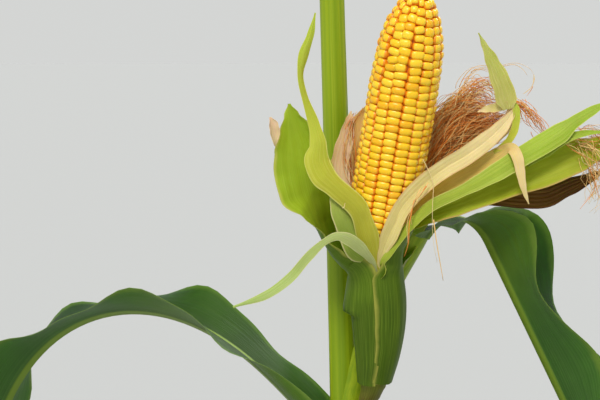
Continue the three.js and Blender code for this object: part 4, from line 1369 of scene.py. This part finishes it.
# A bundle of silk: how many threads, the points from the ear's foot that it runs through, how far its
# threads stray at each point, how curly they are, and the shares of the four tones.
SILK_BUNDLES = {
    "silk_right": [
        (240, [(34, 6, 62), (43, 5, 80), (53, 4, 95), (65, 2, 106), (80, 0, 108)],
         [3, 5, 7, 7, 6], 2.4, [0.45, 0.4, 0.05, 0.1]),
        (180, [(36, 8, 88), (44, 6, 101), (54, 4, 110), (66, 1, 115), (80, -1, 114)],
         [4, 5, 5, 5, 6], 2.4, [0.25, 0.4, 0.05, 0.3]),
        (240, [(38, 6, 66), (48, 5, 78), (58, 4, 88), (70, 2, 96), (84, 0, 100)],
         [4, 6, 7, 7, 7], 2.6, [0.5, 0.3, 0.15, 0.05]),
        # This bundle and the next lie behind the others and take mostly the brown tone: darker threads that
        # also paint the deep shade inside the silk.
        (220, [(42, 12, 74), (50, 12, 88), (60, 11, 98), (72, 10, 104), (86, 8, 104)],
         [6, 8, 9, 9, 8], 3, [0.4, 0.1, 0.5, 0]),
        (180, [(56, 10, 80), (68, 9, 88), (80, 8, 94), (90, 6, 98), (99, 4, 100)],
         [5, 7, 7, 6, 5], 2.5, [0.4, 0.2, 0.4, 0]),
        (70, [(58, 0, 108), (65, -1, 120), (74, -2, 127), (83, -2, 123), (88, -3, 112)],
         [5, 5, 5, 5, 5], 3, [0.5, 0.35, 0.05, 0.1]),
        (50, [(95, -8, 116), (102, -8, 112), (109, -8, 105), (115, -8, 97), (120, -8, 88)],
         [2, 3, 4, 4, 4], 1.5, [0.6, 0.3, 0.05, 0.05]),
        (8, [(58, 0, 114), (62, -1, 128), (70, -2, 136), (80, -2, 136), (90, -3, 128)],
         [3, 3, 3, 3, 4], 2, [0.3, 0.5, 0, 0.2]),
        (5, [(86, -4, 139), (98, -6, 141), (108, -8, 135), (110, -8, 124), (103, -8, 117)],
         [1, 2, 2, 2, 2], 1, [0.2, 0.4, 0, 0.4]),
    ],
    "silk_left": [
        (60, [(-14, 8, 46), (-17, 8, 62), (-19, 8, 80), (-18, 8, 96), (-14, 8, 106)],
         [2, 3, 4, 3, 4], 1.5, [0.45, 0.25, 0.2, 0.1]),
    ],
    "silk_husk_end": [
        (80, [(138, -12, 84), (150, -10, 86), (160, -10, 84), (168, -10, 76), (160, -10, 66)],
         [6, 7, 8, 8, 9], 8, [0.4, 0.3, 0.2, 0.1]),
        (60, [(136, -18, 84), (146, -22, 78), (154, -22, 66), (156, -20, 54), (150, -20, 42)],
         [6, 7, 7, 6, 7], 7, [0.2, 0.45, 0.05, 0.3]),
    ],
    "silk_loose": [
        (2, [(33, -34, 74), (38, -36, 60), (39, -38, 42), (42, -38, 20), (47, -36, -12)],
         [1, 1, 1, 1.5, 2], 1.5, [0, 0.2, 0, 0.8]),
        (4, [(34, -34, 60), (27, -34, 46), (23, -34, 32), (24, -32, 18), (20, -30, 4)],
         [3, 2, 2, 2, 3], 1.5, [0.5, 0.2, 0.3, 0]),
        (1, [(-26, -33, 43), (-24, -34, 41), (-22, -35, 42), (-20, -35, 45), (-19, -34, 50)],
         [1, 1, 1, 1, 1], 1, [0, 0, 0, 1]),
    ],
}
SILK_POINTS = 14
SILK_STRAY = [0.75, 0.45]  # how much of its bundle's stray a thread has as a whole and at each point
MOST_DRIFT = 1.5
SILK_ENDS = [2.2, 0.5]  # powers that gather the threads' two ends near those of the bundle
CURL_RATES = [5, 11]
CURL_REACH = 0.4
SILK_GIRTH = [0.18, 0.36]
LOOSE_GIRTH = 1.7  # how much thicker the loose threads are
SHORTEST_THREAD = 0.35  # share of its bundle's length


def bundle_paths(count, points, strays, curl):
    """Threads that run through a bundle's points, each with its own stray and slow curl."""
    guides = np.array([EAR_BASE + Vector(p) for p in points])
    whole, each = SILK_STRAY
    paths = []
    for _ in range(count):
        drift = random.normal(0, 1, 3)
        drift /= max(1.0, np.linalg.norm(drift) / MOST_DRIFT)
        jitter = random.normal(0, each, (len(guides), 3))
        path = Path([g + stray * (whole * drift + j) for g, stray, j in zip(guides, strays, jitter)])
        start, end = sorted(random.uniform(0, 1, 2) ** SILK_ENDS)
        end = max(end, start + SHORTEST_THREAD)
        phases = random.uniform(0, PHASES, 3)
        rates = random.uniform(*CURL_RATES, 3)
        row = []
        for w in np.linspace(start, min(1, end), SILK_POINTS):
            swing = [curl * CURL_REACH * math.sin(rate * w + phase) for rate, phase in zip(rates, phases)]
            row.append(path.point(float(w)) + Vector(swing))
        paths.append(row)
    return paths


def make_silk(name, bundles):
    paths, tones = [], []
    for count, points, strays, curl, shares in bundles:
        paths += bundle_paths(count, points, strays, curl)
        tones.append(random.choice(len(SILK_TONES), size=count, p=shares))
    girths = random.uniform(*SILK_GIRTH, len(paths)) * (LOOSE_GIRTH if name == "silk_loose" else 1)
    mesh, faces = strands(name, paths, girths)
    deal(mesh, np.concatenate(tones), faces)
    piece_of(name, mesh, SILK_TONES, "silk_brown")


# Tassel


def spikelet_shape():
    """A slim flower scale, 1 long from its foot at z = 0."""
    bm = bmesh.new()
    bmesh.ops.create_uvsphere(bm, u_segments=6, v_segments=5, radius=0.5)
    bmesh.ops.scale(bm, vec=(*SPIKELET_SECTION, 1), verts=bm.verts[:])
    bmesh.ops.translate(bm, vec=(0, 0, 0.5), verts=bm.verts[:])
    return arrays_of(bm)


def spikelet_placings(path, start, pitch, around):
    """Flower scales in rings along a stem, leaning forward and out. around is how many a ring has."""
    placings = []
    count = int(path.length * (1 - start) / pitch)
    for i in range(count):
        share = start + (1 - start) * (i + 0.5) / count
        t = path.place(share)
        along = path.tangent(t)
        side = perpendicular(Vector((0.2, 0.3, 0.93)), along)
        for k in range(around):
            turn = (360 * k + 180 * i) / around + random.uniform(-SPIKELET_WANDER, SPIKELET_WANDER)
            outward = turned(side, along, turn)
            z = (along + outward * random.uniform(*SPIKELET_LEAN)).normalized()
            x = perpendicular(outward, z)
            y = z.cross(x)
            size = SPIKELET_LENGTH * random.uniform(*SPIKELET_SIZES) * mix(1, SPIKELET_LAST, share**3)
            foot = path.point(t) + outward * SPIKELET_STAND_OFF
            placings.append(placing_of((x * size, y * size, z * size), foot))
    return placings


def tassel_branch_path(index):
    """A side branch of the tassel: the lower ones are longer and spread wider."""
    height = index / (TASSEL_BRANCHES - 1)
    azimuth = index * GOLDEN_ANGLE
    shorter, narrower = HIGHEST_BRANCH
    reach = BRANCH_LENGTH * mix(1, shorter, height)
    spread = reach * mix(1, narrower, height)
    foot = SPIKE_PATH.at((BRANCH_START + BRANCH_ZONE * height) / SPIKE_LENGTH)
    points = [foot + polar(azimuth, 1, 0)]
    for turn, out, rise in BRANCH_SHAPE:
        points.append(foot + polar(azimuth + turn, out * spread, mix(*rise, height) * reach))
    return Path(points)


SPIKE_FOOT = stalk_axis(STALK_HEIGHT)
SPIKE_FOOT.z = STALK_HEIGHT + SPIKE_GAP
SPIKE_SHAPE = [(0, 0, 0), (0, 0, 0.15), (-0.02, 0.01, 0.5), (-0.06, 0.03, 1)]
SPIKE_PATH = Path([SPIKE_FOOT + Vector(share) * SPIKE_LENGTH for share in SPIKE_SHAPE])


def make_tassel():
    template = spikelet_shape()
    parts = [("tassel_spike", SPIKE_PATH, *SPIKE_HABIT)]
    for index in range(TASSEL_BRANCHES):
        parts.append((f"tassel_branch_{index + 1:02d}", tassel_branch_path(index), *BRANCH_HABIT))
    for name, path, radius, start, pitch, around in parts:
        stem = rod(path, *STEM_MESH, lambda t: radius * mix(1, STEM_TIP, t))
        finished(name, stem, [STRAW_TONES[0]], "tassel_straw")
        placings = spikelet_placings(path, start, pitch, around)
        tones = random.choice(len(STRAW_TONES), size=len(placings), p=STRAW_SHARES)
        mesh = scattered(name + "_flowers", template, placings, np.repeat(tones, len(template[1])))
        piece_of(name + "_flowers", mesh, STRAW_TONES, "tassel_straw")


make_camera()
make_stage()
make_sky()
for sun in SUNS:
    add_sun(*sun)
make_stalk()
make_brace_roots()
for leaf_joint in range(FIRST_LEAF, JOINTS + 1):
    make_leaf(leaf_joint)
make_ear_leaf_sheath()
make_kernels()
make_cob()
make_tip_tuft()
make_shank()
for husk_leaf in HUSK_LEAVES:
    make_husk(husk_leaf)
for silk_name, silk_bundles in SILK_BUNDLES.items():
    make_silk(silk_name, silk_bundles)
make_tassel()
